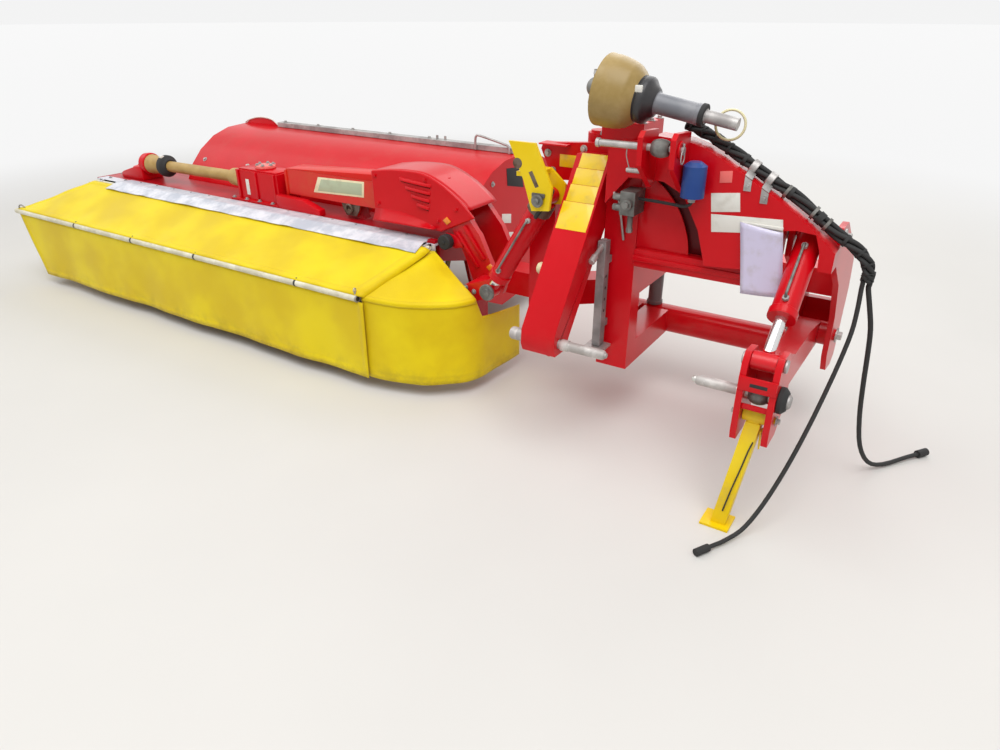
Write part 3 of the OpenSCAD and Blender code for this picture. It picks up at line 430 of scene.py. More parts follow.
# ---------------------------------------------------------------- modelling
class Bench:
    """Modelling moves made with Blender's own operators. Lengths and places are in the datum."""

    @staticmethod
    def clear() -> None:
        """Puts Blender in object mode with nothing selected."""
        if bpy.context.mode != "OBJECT":
            bpy.ops.object.mode_set(mode="OBJECT")
        bpy.ops.object.select_all(action="DESELECT")

    @classmethod
    def pick(cls, piece: Piece) -> None:
        """Selects one piece and makes it the active one."""
        cls.clear()
        bpy.context.view_layer.objects.active = piece
        piece.select_set(True)

    @staticmethod
    def settle(name: str = "part") -> Piece:
        """Names the active object and moves its place into its mesh."""
        piece = bpy.context.object
        piece.name = piece.data.name = name
        bpy.ops.object.transform_apply(location=True, rotation=True, scale=True)
        return piece

    @staticmethod
    def edit(choose: Callable[[bmesh.types.BMFace], bool] | None = None) -> None:
        """Enters edit mode on the active object with the chosen faces, or all, selected."""
        bpy.ops.object.mode_set(mode="EDIT")
        bpy.ops.mesh.select_mode(type="FACE")
        bpy.ops.mesh.select_all(action="SELECT" if choose is None else "DESELECT")
        if choose is not None:
            mesh = bmesh.from_edit_mesh(bpy.context.object.data)
            for face in mesh.faces:
                face.select = choose(face)
            bmesh.update_edit_mesh(bpy.context.object.data)

    @staticmethod
    def leave(angle: float = SMOOTH) -> None:
        """Returns to object mode, smooth where edges are flatter than angle in degrees."""
        bpy.ops.object.mode_set(mode="OBJECT")
        bpy.ops.object.shade_smooth_by_angle(angle=math.radians(angle))

    @classmethod
    def block(cls, low: Triple, high: Triple, round_by: float = 1.5) -> Piece:
        """Models a block between two corners, with edges rounded by round_by."""
        cls.clear()
        a, b = at(*low), at(*high)
        bpy.ops.mesh.primitive_cube_add(size=1, location=(a + b) / 2, scale=b - a)
        piece = cls.settle()
        cls.edit()
        bpy.ops.mesh.bevel(offset=round_by * MM, segments=2, affect="EDGES")
        cls.leave()
        return piece

    @classmethod
    def rod(cls, start: Triple, end: Triple, radius: float, sides: int = 24, chamfer: float = 1.5) -> Piece:
        """Models a round bar with chamfered ends.

        Args:
            start: one end's centre.
            end: the other end's centre.
            radius: its radius.
            sides: number of sides.
            chamfer: chamfer of both ends.

        Returns:
            The new object.
        """
        cls.clear()
        a, b = at(*start), at(*end)
        turn = (b - a).to_track_quat("Z", "Y").to_euler()
        bpy.ops.mesh.primitive_cone_add(vertices=sides, radius1=radius * MM, radius2=radius * MM,
                                        depth=(b - a).length, location=(a + b) / 2, rotation=turn)
        piece = cls.settle()
        if chamfer:
            cls.edit(lambda face: len(face.verts) == sides)
            bpy.ops.mesh.bevel(offset=chamfer * MM, segments=1, affect="EDGES")
        cls.leave()
        return piece

    @classmethod
    def plate(cls, outline: Sequence[Triple], push: Triple, round_by: float = 1.0) -> Piece:
        """Models a plate from its outline, extruded by push, with edges rounded by round_by."""
        cls.clear()
        bpy.ops.mesh.primitive_circle_add(vertices=len(outline), radius=1.0, fill_type="NGON")
        piece = cls.settle()
        for vertex, corner in zip(piece.data.vertices, outline):
            vertex.co = at(*corner)
        cls.edit()
        bpy.ops.mesh.extrude_region_move(TRANSFORM_OT_translate={"value": Vector(push) * MM})
        bpy.ops.mesh.select_all(action="SELECT")
        bpy.ops.mesh.normals_make_consistent(inside=False)
        if round_by:
            bpy.ops.mesh.bevel(offset=round_by * MM, segments=2, affect="EDGES")
        cls.leave()
        return piece

    @classmethod
    def slab(cls, axis: int, level: float, corners: Sequence[Pair], thick: float,
             round_by: float = 1.0) -> Piece:
        """Models a plate that is square to an axis.

        Args:
            axis: X or Y.
            level: where the outline lies on that axis.
            corners: the outline in the other two.
            thick: how far it is extruded along the axis.
            round_by: radius of the edges.

        Returns:
            The new object.
        """
        push = tuple(thick if i == axis else 0.0 for i in range(3))
        return cls.plate([(*c[:axis], level, *c[axis:]) for c in corners], push, round_by)

    @classmethod
    def ring(cls, centre: Triple, axis: Triple, radius: float, wire: float) -> Piece:
        """Models a wire ring of round section, square to axis."""
        cls.clear()
        turn = Vector(axis).to_track_quat("Z", "Y").to_euler()
        bpy.ops.mesh.primitive_torus_add(location=at(*centre), rotation=turn, major_radius=radius * MM,
                                         minor_radius=wire * MM, major_segments=28, minor_segments=8)
        piece = cls.settle()
        cls.edit()
        cls.leave(ALL_SMOOTH)
        return piece

    @staticmethod
    def curve(name: str, lines: Sequence[Sequence[Vector]], radius: float, sides: int = 4) -> Piece:
        """Lays round strands along lines of row-frame points, as one curve object.

        Args:
            name: the object's name.
            lines: one line of points for each strand.
            radius: radius of the strands.
            sides: bevel resolution of their section.

        Returns:
            The new object.
        """
        curve = bpy.data.curves.new(name, "CURVE")
        curve.dimensions, curve.bevel_depth, curve.bevel_resolution = "3D", radius * MM, sides
        curve.use_fill_caps = True
        for points in lines:
            line = curve.splines.new("POLY")
            line.points.add(len(points) - 1)
            for point, place in zip(line.points, points):
                point.co = (*place, 1.0)
            line.use_smooth = True
        piece = bpy.data.objects.new(name, curve)
        bpy.context.scene.collection.objects.link(piece)
        return piece

    @classmethod
    def strands(cls, lines: Sequence[Sequence[Vector]], radius: float, sides: int = 3) -> Piece:
        """Models round strands along lines of row-frame points, as one mesh."""
        cls.pick(cls.curve("part", lines, radius, sides))
        bpy.ops.object.convert(target="MESH")
        bpy.ops.object.shade_smooth_by_angle(angle=math.radians(STRAND_SMOOTH))
        return bpy.context.object

    @classmethod
    def pipe(cls, points: Sequence[Triple], radius: float) -> Piece:
        """Models a bent round pipe along chosen points."""
        return cls.strands([route(points, PIPE_STEPS)], radius, 4)

    @classmethod
    def join(cls, name: str, pieces: Sequence[Piece]) -> Piece:
        """Joins pieces into one object of that name."""
        cls.clear()
        for piece in pieces:
            piece.select_set(True)
        bpy.context.view_layer.objects.active = pieces[0]
        if len(pieces) > 1:
            bpy.ops.object.join()
        joined = bpy.context.object
        joined.name = joined.data.name = name
        return joined

    @classmethod
    def grid(cls, rows: Sequence[Sequence[Triple]], name: str = "part") -> Piece:
        """Models a sheet without thickness from rows of equally many points."""
        cls.clear()
        bpy.ops.mesh.primitive_grid_add(x_subdivisions=len(rows[0]) - 1, y_subdivisions=len(rows) - 1, size=2)
        piece = cls.settle(name)
        for vertex, place in zip(piece.data.vertices, [q for row in rows for q in row]):
            vertex.co = at(*place)
        piece.data.update()
        return piece

    @classmethod
    def thicken(cls, piece: Piece, thick: float) -> float:
        """Smooths and thickens a sheet, and returns its one-sided area in square metres."""
        cls.pick(piece)
        cls.edit()
        bpy.ops.mesh.normals_make_consistent(inside=False)
        cls.leave(ALL_SMOOTH)
        area = sum(face.area for face in piece.data.polygons)
        solid = piece.modifiers.new("thick", "SOLIDIFY")
        solid.thickness, solid.offset = thick * MM, 0.0
        bpy.ops.object.modifier_apply(modifier="thick")
        return area

    @classmethod
    def skin(cls, rows: Sequence[Sequence[Triple]], thick: float) -> Piece:
        """Models a thin shaped plate from rows of equally many points."""
        piece = cls.grid(rows)
        cls.thicken(piece, thick)
        return piece

    @classmethod
    def turned(cls, start: Triple, way: Triple, outline: Sequence[Pair], sides: int = 48) -> Piece:
        """Models a body of revolution.

        Args:
            start: a point on the axis.
            way: direction of the axis.
            outline: closed outline of (distance along the axis, radius).
            sides: number of sides.

        Returns:
            The new object.
        """
        axis = Vector(way).normalized()
        u = axis.orthogonal().normalized()
        v = axis.cross(u)
        turns = [math.tau * i / sides for i in range(sides + 1)]
        piece = cls.grid([[Vector(start) + axis * along + (u * math.cos(turn) + v * math.sin(turn)) * radius
                           for turn in turns] for along, radius in [*outline, outline[0]]])
        cls.edit()
        bpy.ops.mesh.remove_doubles(threshold=MERGE)
        bpy.ops.mesh.select_all(action="SELECT")
        bpy.ops.mesh.normals_make_consistent(inside=False)
        cls.leave(TURNED_SMOOTH)
        return piece

    @classmethod
    def bolts(cls, across: float, places: Sequence[tuple[Triple, Triple]]) -> Piece:
        """Models hexagon bolt heads on washers, modelled once and copied.

        Args:
            across: width of the hexagon over its corners.
            places: each head's seat and the way that it faces.

        Returns:
            One object with every head.
        """
        def foot(share: float) -> Triple:
            """Returns a point over the row frame's origin, at a share of the bolt's width."""
            return MID_X, MID_Y, share * across

        washer = cls.rod(foot(0.0), foot(0.16), 0.85 * across, 16, 0.5)
        head = cls.join("bolt", [washer, cls.rod(foot(0.15), foot(0.62), 0.5 * across, 6, 0.8)])
        made = []
        for place, way in places:
            twin = head.copy()
            twin.data = head.data.copy()
            turn = Vector(way).to_track_quat("Z", "Y").to_matrix().to_4x4()
            twin.data.transform(Matrix.Translation(at(*place)) @ turn)
            bpy.context.scene.collection.objects.link(twin)
            made.append(twin)
        bpy.data.objects.remove(head)
        return cls.join("part", made)


def box(x0: float, z0: float, x1: float, z1: float) -> list[Pair]:
    """Returns the corners of a rectangle."""
    return [(x0, z1), (x1, z1), (x1, z0), (x0, z0)]


def circle(count: int, radius: float, turn: float = 0.0) -> list[Pair]:
    """Returns evenly spread points round the origin."""
    angles = [math.tau * i / count + turn for i in range(count)]
    return [(radius * math.cos(a), radius * math.sin(a)) for a in angles]


def facing(way: Triple, places: Iterable[Triple]) -> list[tuple[Triple, Triple]]:
    """Returns seats of bolt heads that all face one way."""
    return [(place, way) for place in places]


def profile(points: Sequence[Pair], steps: int) -> list[Pair]:
    """Returns the smooth curve through chosen points of X and Z."""
    return [(q.x / MM + MID_X, q.z / MM) for q in route([(x, 0, z) for x, z in points], steps)]


def finish_piece(piece: Piece, finish: Finish, body: str) -> Piece:
    """Lays a finish on a piece and lets it ride on a body."""
    piece.data.materials.clear()
    piece.data.materials.append(finish.build())
    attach(piece, body)
    LOG.info("piece %s: %s, rides on %s", piece.name, finish.name, body)
    return piece


# ---------------------------------------------------------------- sub-assemblies
class Softening(Enum):
    """How a machined node's edges are rounded, in metres."""

    CASTING = 0.004
    PLATE = 0.0015
    NONE = 0.0


@dataclass
class Machine:
    """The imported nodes: which finish each has and how its edges are rounded."""

    finishes: tuple[tuple[Finish, str], ...] = (
        (RED, "headstock head_gearbox left_strut right_arm arm_barrel link_ears swing_frame lift_barrel"),
        (RED, "mower_gearbox hood"), (DEEP_RED, "mower_frame swath_boards"), (YELLOW, "lift_bracket parking_leg"),
        (BOOM_PAINT, "boom"), (DECK_FINISH, "deck"), (TINES, "rotor"), (BLUE, "accumulator"), (TAN, "cross_shaft"),
        (ZINC, "left_pin top_pin stand_leg hood_rail pto_shaft"), (HITCH_PIN, "right_pin"),
        (STAND_GREY, "left_stand"), (PALE_ZINC, "front_guard outer_guard"), (VALVE, "valve_block pto_joint"),
        (ARM_ROD, "arm_rod"), (LIFT_ROD, "lift_rod"), (BAR, "cutterbar"), (BLACK, "hose_a_tip hose_b_tip"),
        (DISC, "disc_1 disc_2 disc_3 disc_4 disc_5 disc_6 disc_7"))
    softer: tuple[str, ...] = ("head_gearbox", "mower_gearbox")
    sharp: tuple[str, ...] = ("rotor", "disc")
    smooth_angle: float = 32.0
    edge_angle: float = 40.0

    def smoother(self) -> bpy.types.NodeTree:
        """Returns a node group that welds a node's triangles and shades them by angle."""
        tree = bpy.data.node_groups.new("weld_and_smooth", "GeometryNodeTree")
        for way in ("INPUT", "OUTPUT"):
            tree.interface.new_socket("Geometry", in_out=way, socket_type="NodeSocketGeometry")
        start, end, weld, faces, edges, angle, sharp = (tree.nodes.new(kind) for kind in (
            "NodeGroupInput", "NodeGroupOutput", "GeometryNodeMergeByDistance", "GeometryNodeSetShadeSmooth",
            "GeometryNodeSetShadeSmooth", "GeometryNodeInputMeshEdgeAngle", "FunctionNodeCompare"))
        weld.inputs["Distance"].default_value = WELD
        edges.domain = "EDGE"
        edges.inputs["Shade Smooth"].default_value = False
        sharp.operation = "GREATER_THAN"
        sharp.inputs["B"].default_value = math.radians(self.smooth_angle)
        for a, b in ((start.outputs[0], weld.inputs["Geometry"]), (weld.outputs[0], faces.inputs["Geometry"]),
                     (faces.outputs[0], edges.inputs["Geometry"]), (angle.outputs["Unsigned Angle"], sharp.inputs["A"]),
                     (sharp.outputs[0], edges.inputs["Selection"]), (edges.outputs[0], end.inputs[0])):
            tree.links.new(a, b)
        return tree

    def softening(self, node: str) -> Softening:
        """Returns how a node's edges are rounded."""
        if node.startswith(self.sharp):
            return Softening.NONE
        return Softening.CASTING if node in self.softer else Softening.PLATE

    def dress(self) -> None:
        """Lays every node's finish and adds its smoothing and edge modifiers."""
        group = self.smoother()
        for finish, nodes in self.finishes:
            for node in nodes.split():
                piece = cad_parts[node]
                piece.data.materials.clear()
                piece.data.materials.append(finish.build())
                piece.modifiers.new("smooth", "NODES").node_group = group
                by = self.softening(node)
                if by is not Softening.NONE:
                    bevel = piece.modifiers.new("edges", "BEVEL")
                    bevel.width, bevel.segments = by.value, 2
                    bevel.limit_method, bevel.angle_limit = "ANGLE", math.radians(self.edge_angle)
                    bevel.harden_normals = True
                LOG.info("node %s: %s", node, finish.name)


@dataclass
class Hoses:
    """The two free hydraulic hoses, with their plugs."""

    hose_a: tuple[Triple, ...] = (
        (630, 341, 860), (630, 341, 845), (630, 341, 830), (634, 330, 760), (634, 310, 680), (622, 270, 580),
        (604, 215, 470), (584, 140, 365), (560, 65, 262), (532, 0, 165), (502, -60, 85), (470, -120, 32),
        (430, -190, 15), (413, -220, 15), (396, -250, 15))
    hose_b: tuple[Triple, ...] = (
        (650, 359, 860), (650, 359, 845), (650, 359, 830), (668, 368, 760), (686, 380, 680), (696, 396, 580),
        (706, 420, 440), (720, 455, 290), (744, 500, 150), (784, 566, 50), (836, 640, 14),
        (910, 741, 17), (930, 769, 17), (950, 797, 17))
    radius_a: float = 8.0
    radius_b: float = 9.0

    def lay(self) -> None:
        for name, points, radius in (("hose_a", self.hose_a, self.radius_a), ("hose_b", self.hose_b, self.radius_b)):
            Bench.clear()
            cord = Bench.curve(name + "_line", [route(points, CORD_STEPS)], radius)
            finish_piece(cord, BLACK, "headstock")
            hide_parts(name)
            places = route(points, LINE_STEPS)
            length = sum((b - a).length for a, b in zip(places, places[1:]))
            tuple(at(*points[0]))
            LOG.info("hose %s is %.2f m long", name, length)


@dataclass
class Bundle:
    """The clipped hose bundle: twisted hoses held by tape, from the shaft's end to the right cheek."""

    points: tuple[Triple, ...] = (
        (-60, 385, 1318), (-10, 380, 1300), (45, 372, 1280), (105, 365, 1250), (176, 360, 1213), (282, 360, 1152),
        (375, 358, 1103), (508, 355, 1010), (585, 352, 965), (626, 350, 925), (640, 350, 890), (640, 350, 875),
        (640, 350, 861))
    spread: float = 13.45
    thick: float = 8.4
    core: float = 7.0
    tape: float = 22.6
    turns: float = 2.6
    first: Pair = (-10.0, -9.0)
    tape_gap: int = 7

    @staticmethod
    def frames(places: Sequence[Vector]) -> list[tuple[Vector, Vector]]:
        """Returns two directions square to the path at each place, carried along without twist."""
        found: list[tuple[Vector, Vector]] = []
        side = Vector((0, 0, 1))
        for i in range(len(places)):
            way = (places[min(i + 1, len(places) - 1)] - places[max(i - 1, 0)]).normalized()
            side = (side - way * side.dot(way)).normalized()
            found.append((side.copy(), way.cross(side)))
        return found

    def lay(self) -> None:
        """Models the strands, their tape and the cuffs at both ends."""
        places = route(self.points, LINE_STEPS)
        frames = self.frames(places)
        a, b = frames[-1]
        aim = Vector((*self.first, 0))
        last = math.atan2(aim.dot(b), aim.dot(a))
        lines = []
        for k in range(4):
            line = []
            for i, (place, (u, v)) in enumerate(zip(places, frames)):
                angle = last + k * math.pi / 2 + self.turns * math.tau * (1 - i / (len(places) - 1))
                line.append(place + (u * math.cos(angle) + v * math.sin(angle)) * self.spread * MM)
            lines.append(line)
        tapes = [[places[i], places[i + 1]] for i in range(3, len(places) - 6, self.tape_gap)]
        tapes += [[places[0], places[1]], [places[-2], places[-1]]]
        bundle = Bench.join("bundle_strands", [Bench.strands(lines, self.thick), Bench.strands([places], self.core),
                                               Bench.strands(tapes, self.tape, 6)])
        finish_piece(bundle, BLACK, "headstock")
        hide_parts("hose_bundle")


@dataclass
class Covers:
    """The yellow cloths over and round the cutterbar, and the silver flap.

    A point of a cloth is given by two shares: u along the machine and v across the cloth.
    """

    out_x: float = -4450.0
    in_x: float = -1430.0
    rod_y: float = 20.0
    rod_z: float = 475.0
    hinge_y: float = 418.0
    hinge_z: float = 637.0
    low_z: float = 65.0
    wall_z: float = 385.0
    outer_x: float = -4308.0
    outer_z: float = 592.0
    flap_z: float = 658.5
    flap_run: float = 176.0
    arms: tuple[float, ...] = (-4100.0, -3400.0, -2700.0, -2000.0, -1450.0)
    wall: tuple[Triple, ...] = ((-1416, 34, 0), (-1200, 70, 0), (-1020, 180, 0), (-950, 300, 0), (-930, 420, 0),
                                (-925, 655, 0))
    peak: Triple = (-1288, 428, 629)
    thick: float = 2.5

    @staticmethod
    def sheet(name: str, rows: Sequence[Sequence[Triple]], body: str) -> Piece:
        """Makes a cloth without thickness from rows of points and lets it ride on a body."""
        return finish_piece(Bench.grid(rows, name), CLOTH, body)

    def area(self, piece: Piece) -> float:
        """Thickens a cloth and returns its one-sided area in square metres."""
        area = Bench.thicken(piece, self.thick)
        LOG.info("%s measures %.3f m2", piece.name, area)
        return area

    @staticmethod
    def shares(count: int, hems: Sequence[float] = ()) -> list[float]:
        """Returns even steps from 0 to 1 with a close pair of steps at each hem's edge."""
        clear, half = 0.35 / count, 0.06 / count
        steps = {i / count for i in range(count + 1)}
        for hem in hems:
            steps -= {t for t in steps if abs(t - hem) < clear}
            steps |= {hem - half, hem + half}
        return sorted(steps)

    @staticmethod
    def rows(down: Sequence[float], across: Sequence[float],
             place: Callable[[float, float], Triple]) -> list[list[Triple]]:
        """Returns rows of place(u, v), with v from down and u from across."""
        return [[place(u, v) for u in across] for v in down]

    def canopy(self) -> None:
        """The sloping cover between the front rod and its hinge, sagging between its arms."""
        deep, rise = self.hinge_y - self.rod_y, self.hinge_z - self.rod_z
        length = math.hypot(deep, rise)
        up, down = Vector((0, -rise, deep)) / length, Vector((0, deep, rise)) / length
        far = length - 22
        hem_v, hem_u, last = (0.085, 0.93), (0.011, 0.978), 0.9915

        def place(u: float, v: float) -> Triple:
            """Returns a point of the canopy."""
            left = self.out_x + v * (-4120 - self.out_x)
            right = self.in_x + 26 + v * (-1305 - self.in_x)
            x = left + (right - left) * u
            near = min(abs(x - a) for a in self.arms)
            belly = math.sin(math.pi * v) * min(near / 300.0, 1.0) ** 1.3
            fold = 4.5 * math.sin(x / 71.0 + 7 * v) * math.sin(x / 163.0 + 2.0) * (1 - v) * v * 3
            pull = 3.2 * math.sin((x + 300 * v) / 37.0) * math.sin(x / 210.0) * math.exp(-((v - 0.1) / 0.16) ** 2)
            hem = 1.6 if v < hem_v[0] or v > hem_v[1] or u < hem_u[0] or hem_u[1] < u < last else 0.0
            high = 19.0 - 10.0 * belly + (fold + pull) * (u < last) + hem
            if u > last:
                high -= 16.0 * (u - last) / (1 - last)
            if v == 0:
                high = 17.5
            return tuple(Vector((x, self.rod_y, self.rod_z)) + down * (far * v) + up * high)

        rows = self.rows(self.shares(30, hem_v), self.shares(150, (*hem_u, last)), place)
        piece = self.sheet("canopy_cloth", rows, "front_guard")
        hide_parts("front_canopy")
        area = self.area(piece)

    def front(self) -> None:
        """The cloth that hangs from the front rod, with soft folds and a sewn hem."""
        top, hem, side = self.rod_z - 15.5, 0.91, 0.009

        def place(u: float, v: float) -> Triple:
            """Returns a point of the front cloth."""
            left, right = self.out_x + 150 * v, self.in_x + 30.0
            x = left + (right - left) * u
            wide, small = 7.0 * math.sin(x / 131.0 + 0.7), 3.5 * math.sin(x / 53.0 + 2.0 * v) * math.sin(x / 400.0)
            wave = min(1.0, (right - x) / 220.0) * (wide + small) * v
            sewn = 1.4 if v > hem or u < side or u > 1 - side else 0.0
            return x, self.rod_y + wave - 2.0 * v - sewn, top + (self.low_z - top) * v

        rows = self.rows(self.shares(18, (hem,)), self.shares(200, (side, 1 - side)), place)
        piece = self.sheet("front_drop_cloth", rows, "front_guard")
        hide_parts("front_cloth")
        area = self.area(piece)

    def outer_return(self) -> None:
        """The front cloth's return at the outer end."""
        hem, side, front_top, rear_top, rear_x = 0.91, 0.95, self.rod_z - 20, 590, -4314

        def place(u: float, v: float) -> Triple:
            """Returns a point of the return."""
            front_x, front_z = self.out_x + 150 * v, front_top + (self.low_z - front_top) * v
            rear_z = rear_top + (self.low_z - rear_top) * v
            sewn = 1.3 if v > hem or u > side else 0.0
            return (front_x + (rear_x - front_x) * u + 3 * math.sin(5 * u + 3 * v) - sewn, 27 + 396 * u,
                    front_z + (rear_z - front_z) * u)

        rows = self.rows(self.shares(10, (hem,)), self.shares(14, (side,)), place)
        piece = self.sheet("outer_return_cloth", rows, "front_guard")
        area = self.area(piece)

    def inner(self) -> None:
        """The cloth round the mower's inner end, with its corner sewn over the wall's top."""
        path = [(p.x / MM + MID_X, p.y / MM + MID_Y) for p in route(self.wall, 12)]
        rows, high, low, hem = [], 474.0, self.wall_z, 0.91
        for v in self.shares(16, (hem,)):
            row = []
            for x, y in path:
                top = high if y < 300 else max(low, high - (y - 300) * 2.6) if y < 340 else low - (y - 340) * 0.13
                wave = 4.5 * math.sin(x / 44.0 + y / 61.0) * v - (1.3 if v > hem else 0.0)
                row.append((x + wave, y - 0.6 * wave, top + (self.low_z - top) * v))
            rows.append(row)
        wall = self.sheet("inner_wall_cloth", rows, "mower")
        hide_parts("inner_cloth")
        area = self.area(wall)
        peak = Vector(self.peak)
        edge = [(x, y) for x, y in path if y <= 302]
        rows = [[(x + out * (x + 1300) / 380, y - out * 0.8, z) for x, y in edge]
                for out, z in ((4.2, 461.0), (4.2, 470.0), (3.6, 478.0), (1.0, 481.5))]
        brim, turned = [Vector(q) for q in rows[-1]], 0.06
        for v in self.shares(14, (turned,))[1:]:
            row = []
            for i, q in enumerate(brim):
                u = i / (len(brim) - 1)
                place = q.lerp(peak, v * 0.972)
                place.z += 15 * math.sin(math.pi * u) * math.sin(math.pi * v) ** 0.8 * (1 - v)
                place.z += 3.5 * math.sin(math.pi * v) * math.sin(9 * u + 5 * v) + (1.2 if v < turned else 0.0)
                row.append(tuple(place))
            rows.append(row)
        top = self.sheet("inner_corner_cloth", rows, "mower")
        area = self.area(top)
        self.stitches(brim, peak)

    @staticmethod
    def stitches(brim: Sequence[Vector], peak: Vector) -> None:
        """Sews two rows of thread along the corner's side seam and one along its brim."""
        lines, count, over = [], 46, Vector((0, 0, 4.2))
        for shift in (0.035, 0.06):
            start = brim[0].lerp(brim[-1], shift)
            for i in range(2, count - 3):
                lines.append([start.lerp(peak, (i + k) / count) + over for k in (0.0, 0.55)])
        for a, b in zip(brim, brim[1:]):
            for k in range(2):
                lines.append([a.lerp(b, k / 2 + f).lerp(peak, 0.022) + Vector((0, 0, 3.4)) for f in (0.05, 0.33)])
        thread = Bench.strands([[at(*q) for q in line] for line in lines], 0.9, 1)
        finish_piece(Bench.join("corner_stitches", [thread]), THREAD, "mower")

    def outer(self) -> None:
        """The cloth that hangs at the outer end."""
        hem, side = 0.93, 0.05

        def place(u: float, v: float) -> Triple:
            """Returns a point of the outer cloth."""
            y = 445 + 510 * u
            sewn = 1.3 if v > hem or u < side or u > 1 - side else 0.0
            return (self.outer_x + 4 * math.sin(y / 52.0) * v - sewn, y,
                    self.outer_z + (self.low_z - self.outer_z) * v)

        rows = self.rows(self.shares(14, (hem,)), self.shares(26, (side, 1 - side)), place)
        piece = self.sheet("outer_drop_cloth", rows, "outer_guard")
        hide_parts("outer_cloth")
        area = self.area(piece)

    def flap(self) -> None:
        """The silver flap that covers the canopy's hinge, from the deck's edge down onto the canopy."""
        slope = math.atan2(self.hinge_z - self.rod_z, self.hinge_y - self.rod_y)
        flat, bend = 70, 30.0

        def place(u: float, v: float) -> Triple:
            """Returns a point of the flap: level, then bent over the hinge, then down the slope."""
            run = self.flap_run * v
            left, right = -3870 - 40 * v, -1338 + 10 * v
            x = left + (right - left) * u
            ripple = (1.2 + 2.2 * v) * math.sin(x / 47.0 + 2.0 * math.sin(x / 190.0)) * math.sin(x / 131.0 + 3 * v)
            if run < flat:
                y, z = 504 - run, self.flap_z
            else:
                along = min(run - flat, bend)
                past = max(run - flat - bend, 0.0)
                y = 434 - (along if along < bend else 28.5 + past * math.cos(slope))
                lift = 5.5 * min(run - flat, 20.0) / 20.0
                z = self.flap_z + lift - 15.0 * (slope * along / bend) * along / bend - past * math.sin(slope) * 0.985
            return x, y, z + 1.5 + max(ripple, -1.0) * v

        piece = Bench.grid(self.rows(self.shares(16), self.shares(170), place), "silver_flap")
        area = self.area(piece)
        piece.data.materials.clear()
        piece.data.materials.append(STRIP.build())
        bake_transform(piece)

    def hang(self) -> None:
        """Hangs every cloth."""
        for cloth in (self.flap, self.canopy, self.front, self.outer_return, self.inner, self.outer):
            cloth()


@dataclass
class Trim:
    """Pieces that ride on one body unless another is named."""

    body: str

    def put(self, name: str, finish: Finish, *parts: Piece, body: str = "") -> Piece:
        """Joins parts into one finished piece.

        Args:
            name: the piece's name.
            finish: its finish.
            *parts: the parts.
            body: the body that it rides on, if not this trim's own.

        Returns:
            The piece.
        """
        return finish_piece(Bench.join(name, parts), finish, body or self.body)

    def cylinder(self, names: Sequence[str], top: Triple, eye: Triple, gland: Sequence[Pair], ports: Pair,
                 out: Triple, bends: Sequence[Triple]) -> None:
        """Adds the gland of a hydraulic cylinder, its two ports and the pipe between them.

        Args:
            names: names of the gland, the ports and the pipe, and the barrel's body.
            top: the barrel's eye.
            eye: the rod's eye.
            gland: outline of the gland, measured from the top.
            ports: distance of both ports from the top.
            out: the way that the ports face.
            bends: the pipe's points: number of the port, distance out of it and distance along the barrel.
        """
        start, face = Vector(top), Vector(out)
        way = (Vector(eye) - start).normalized()
        gland_name, port_name, line_name, body = names
        self.put(gland_name, RED, Bench.turned(tuple(start), tuple(way), gland, 40), body=body)
        port = [start + way * k + face * 45 for k in ports]
        self.put(port_name, ZINC, *[Bench.rod(tuple(q), tuple(q + face * 14), 12, 6, 1.0) for q in port], body=body)
        line = [tuple(port[i] + face * far + way * along) for i, far, along in bends]
        self.put(line_name, VALVE, Bench.pipe(line, 5.0), body=body)


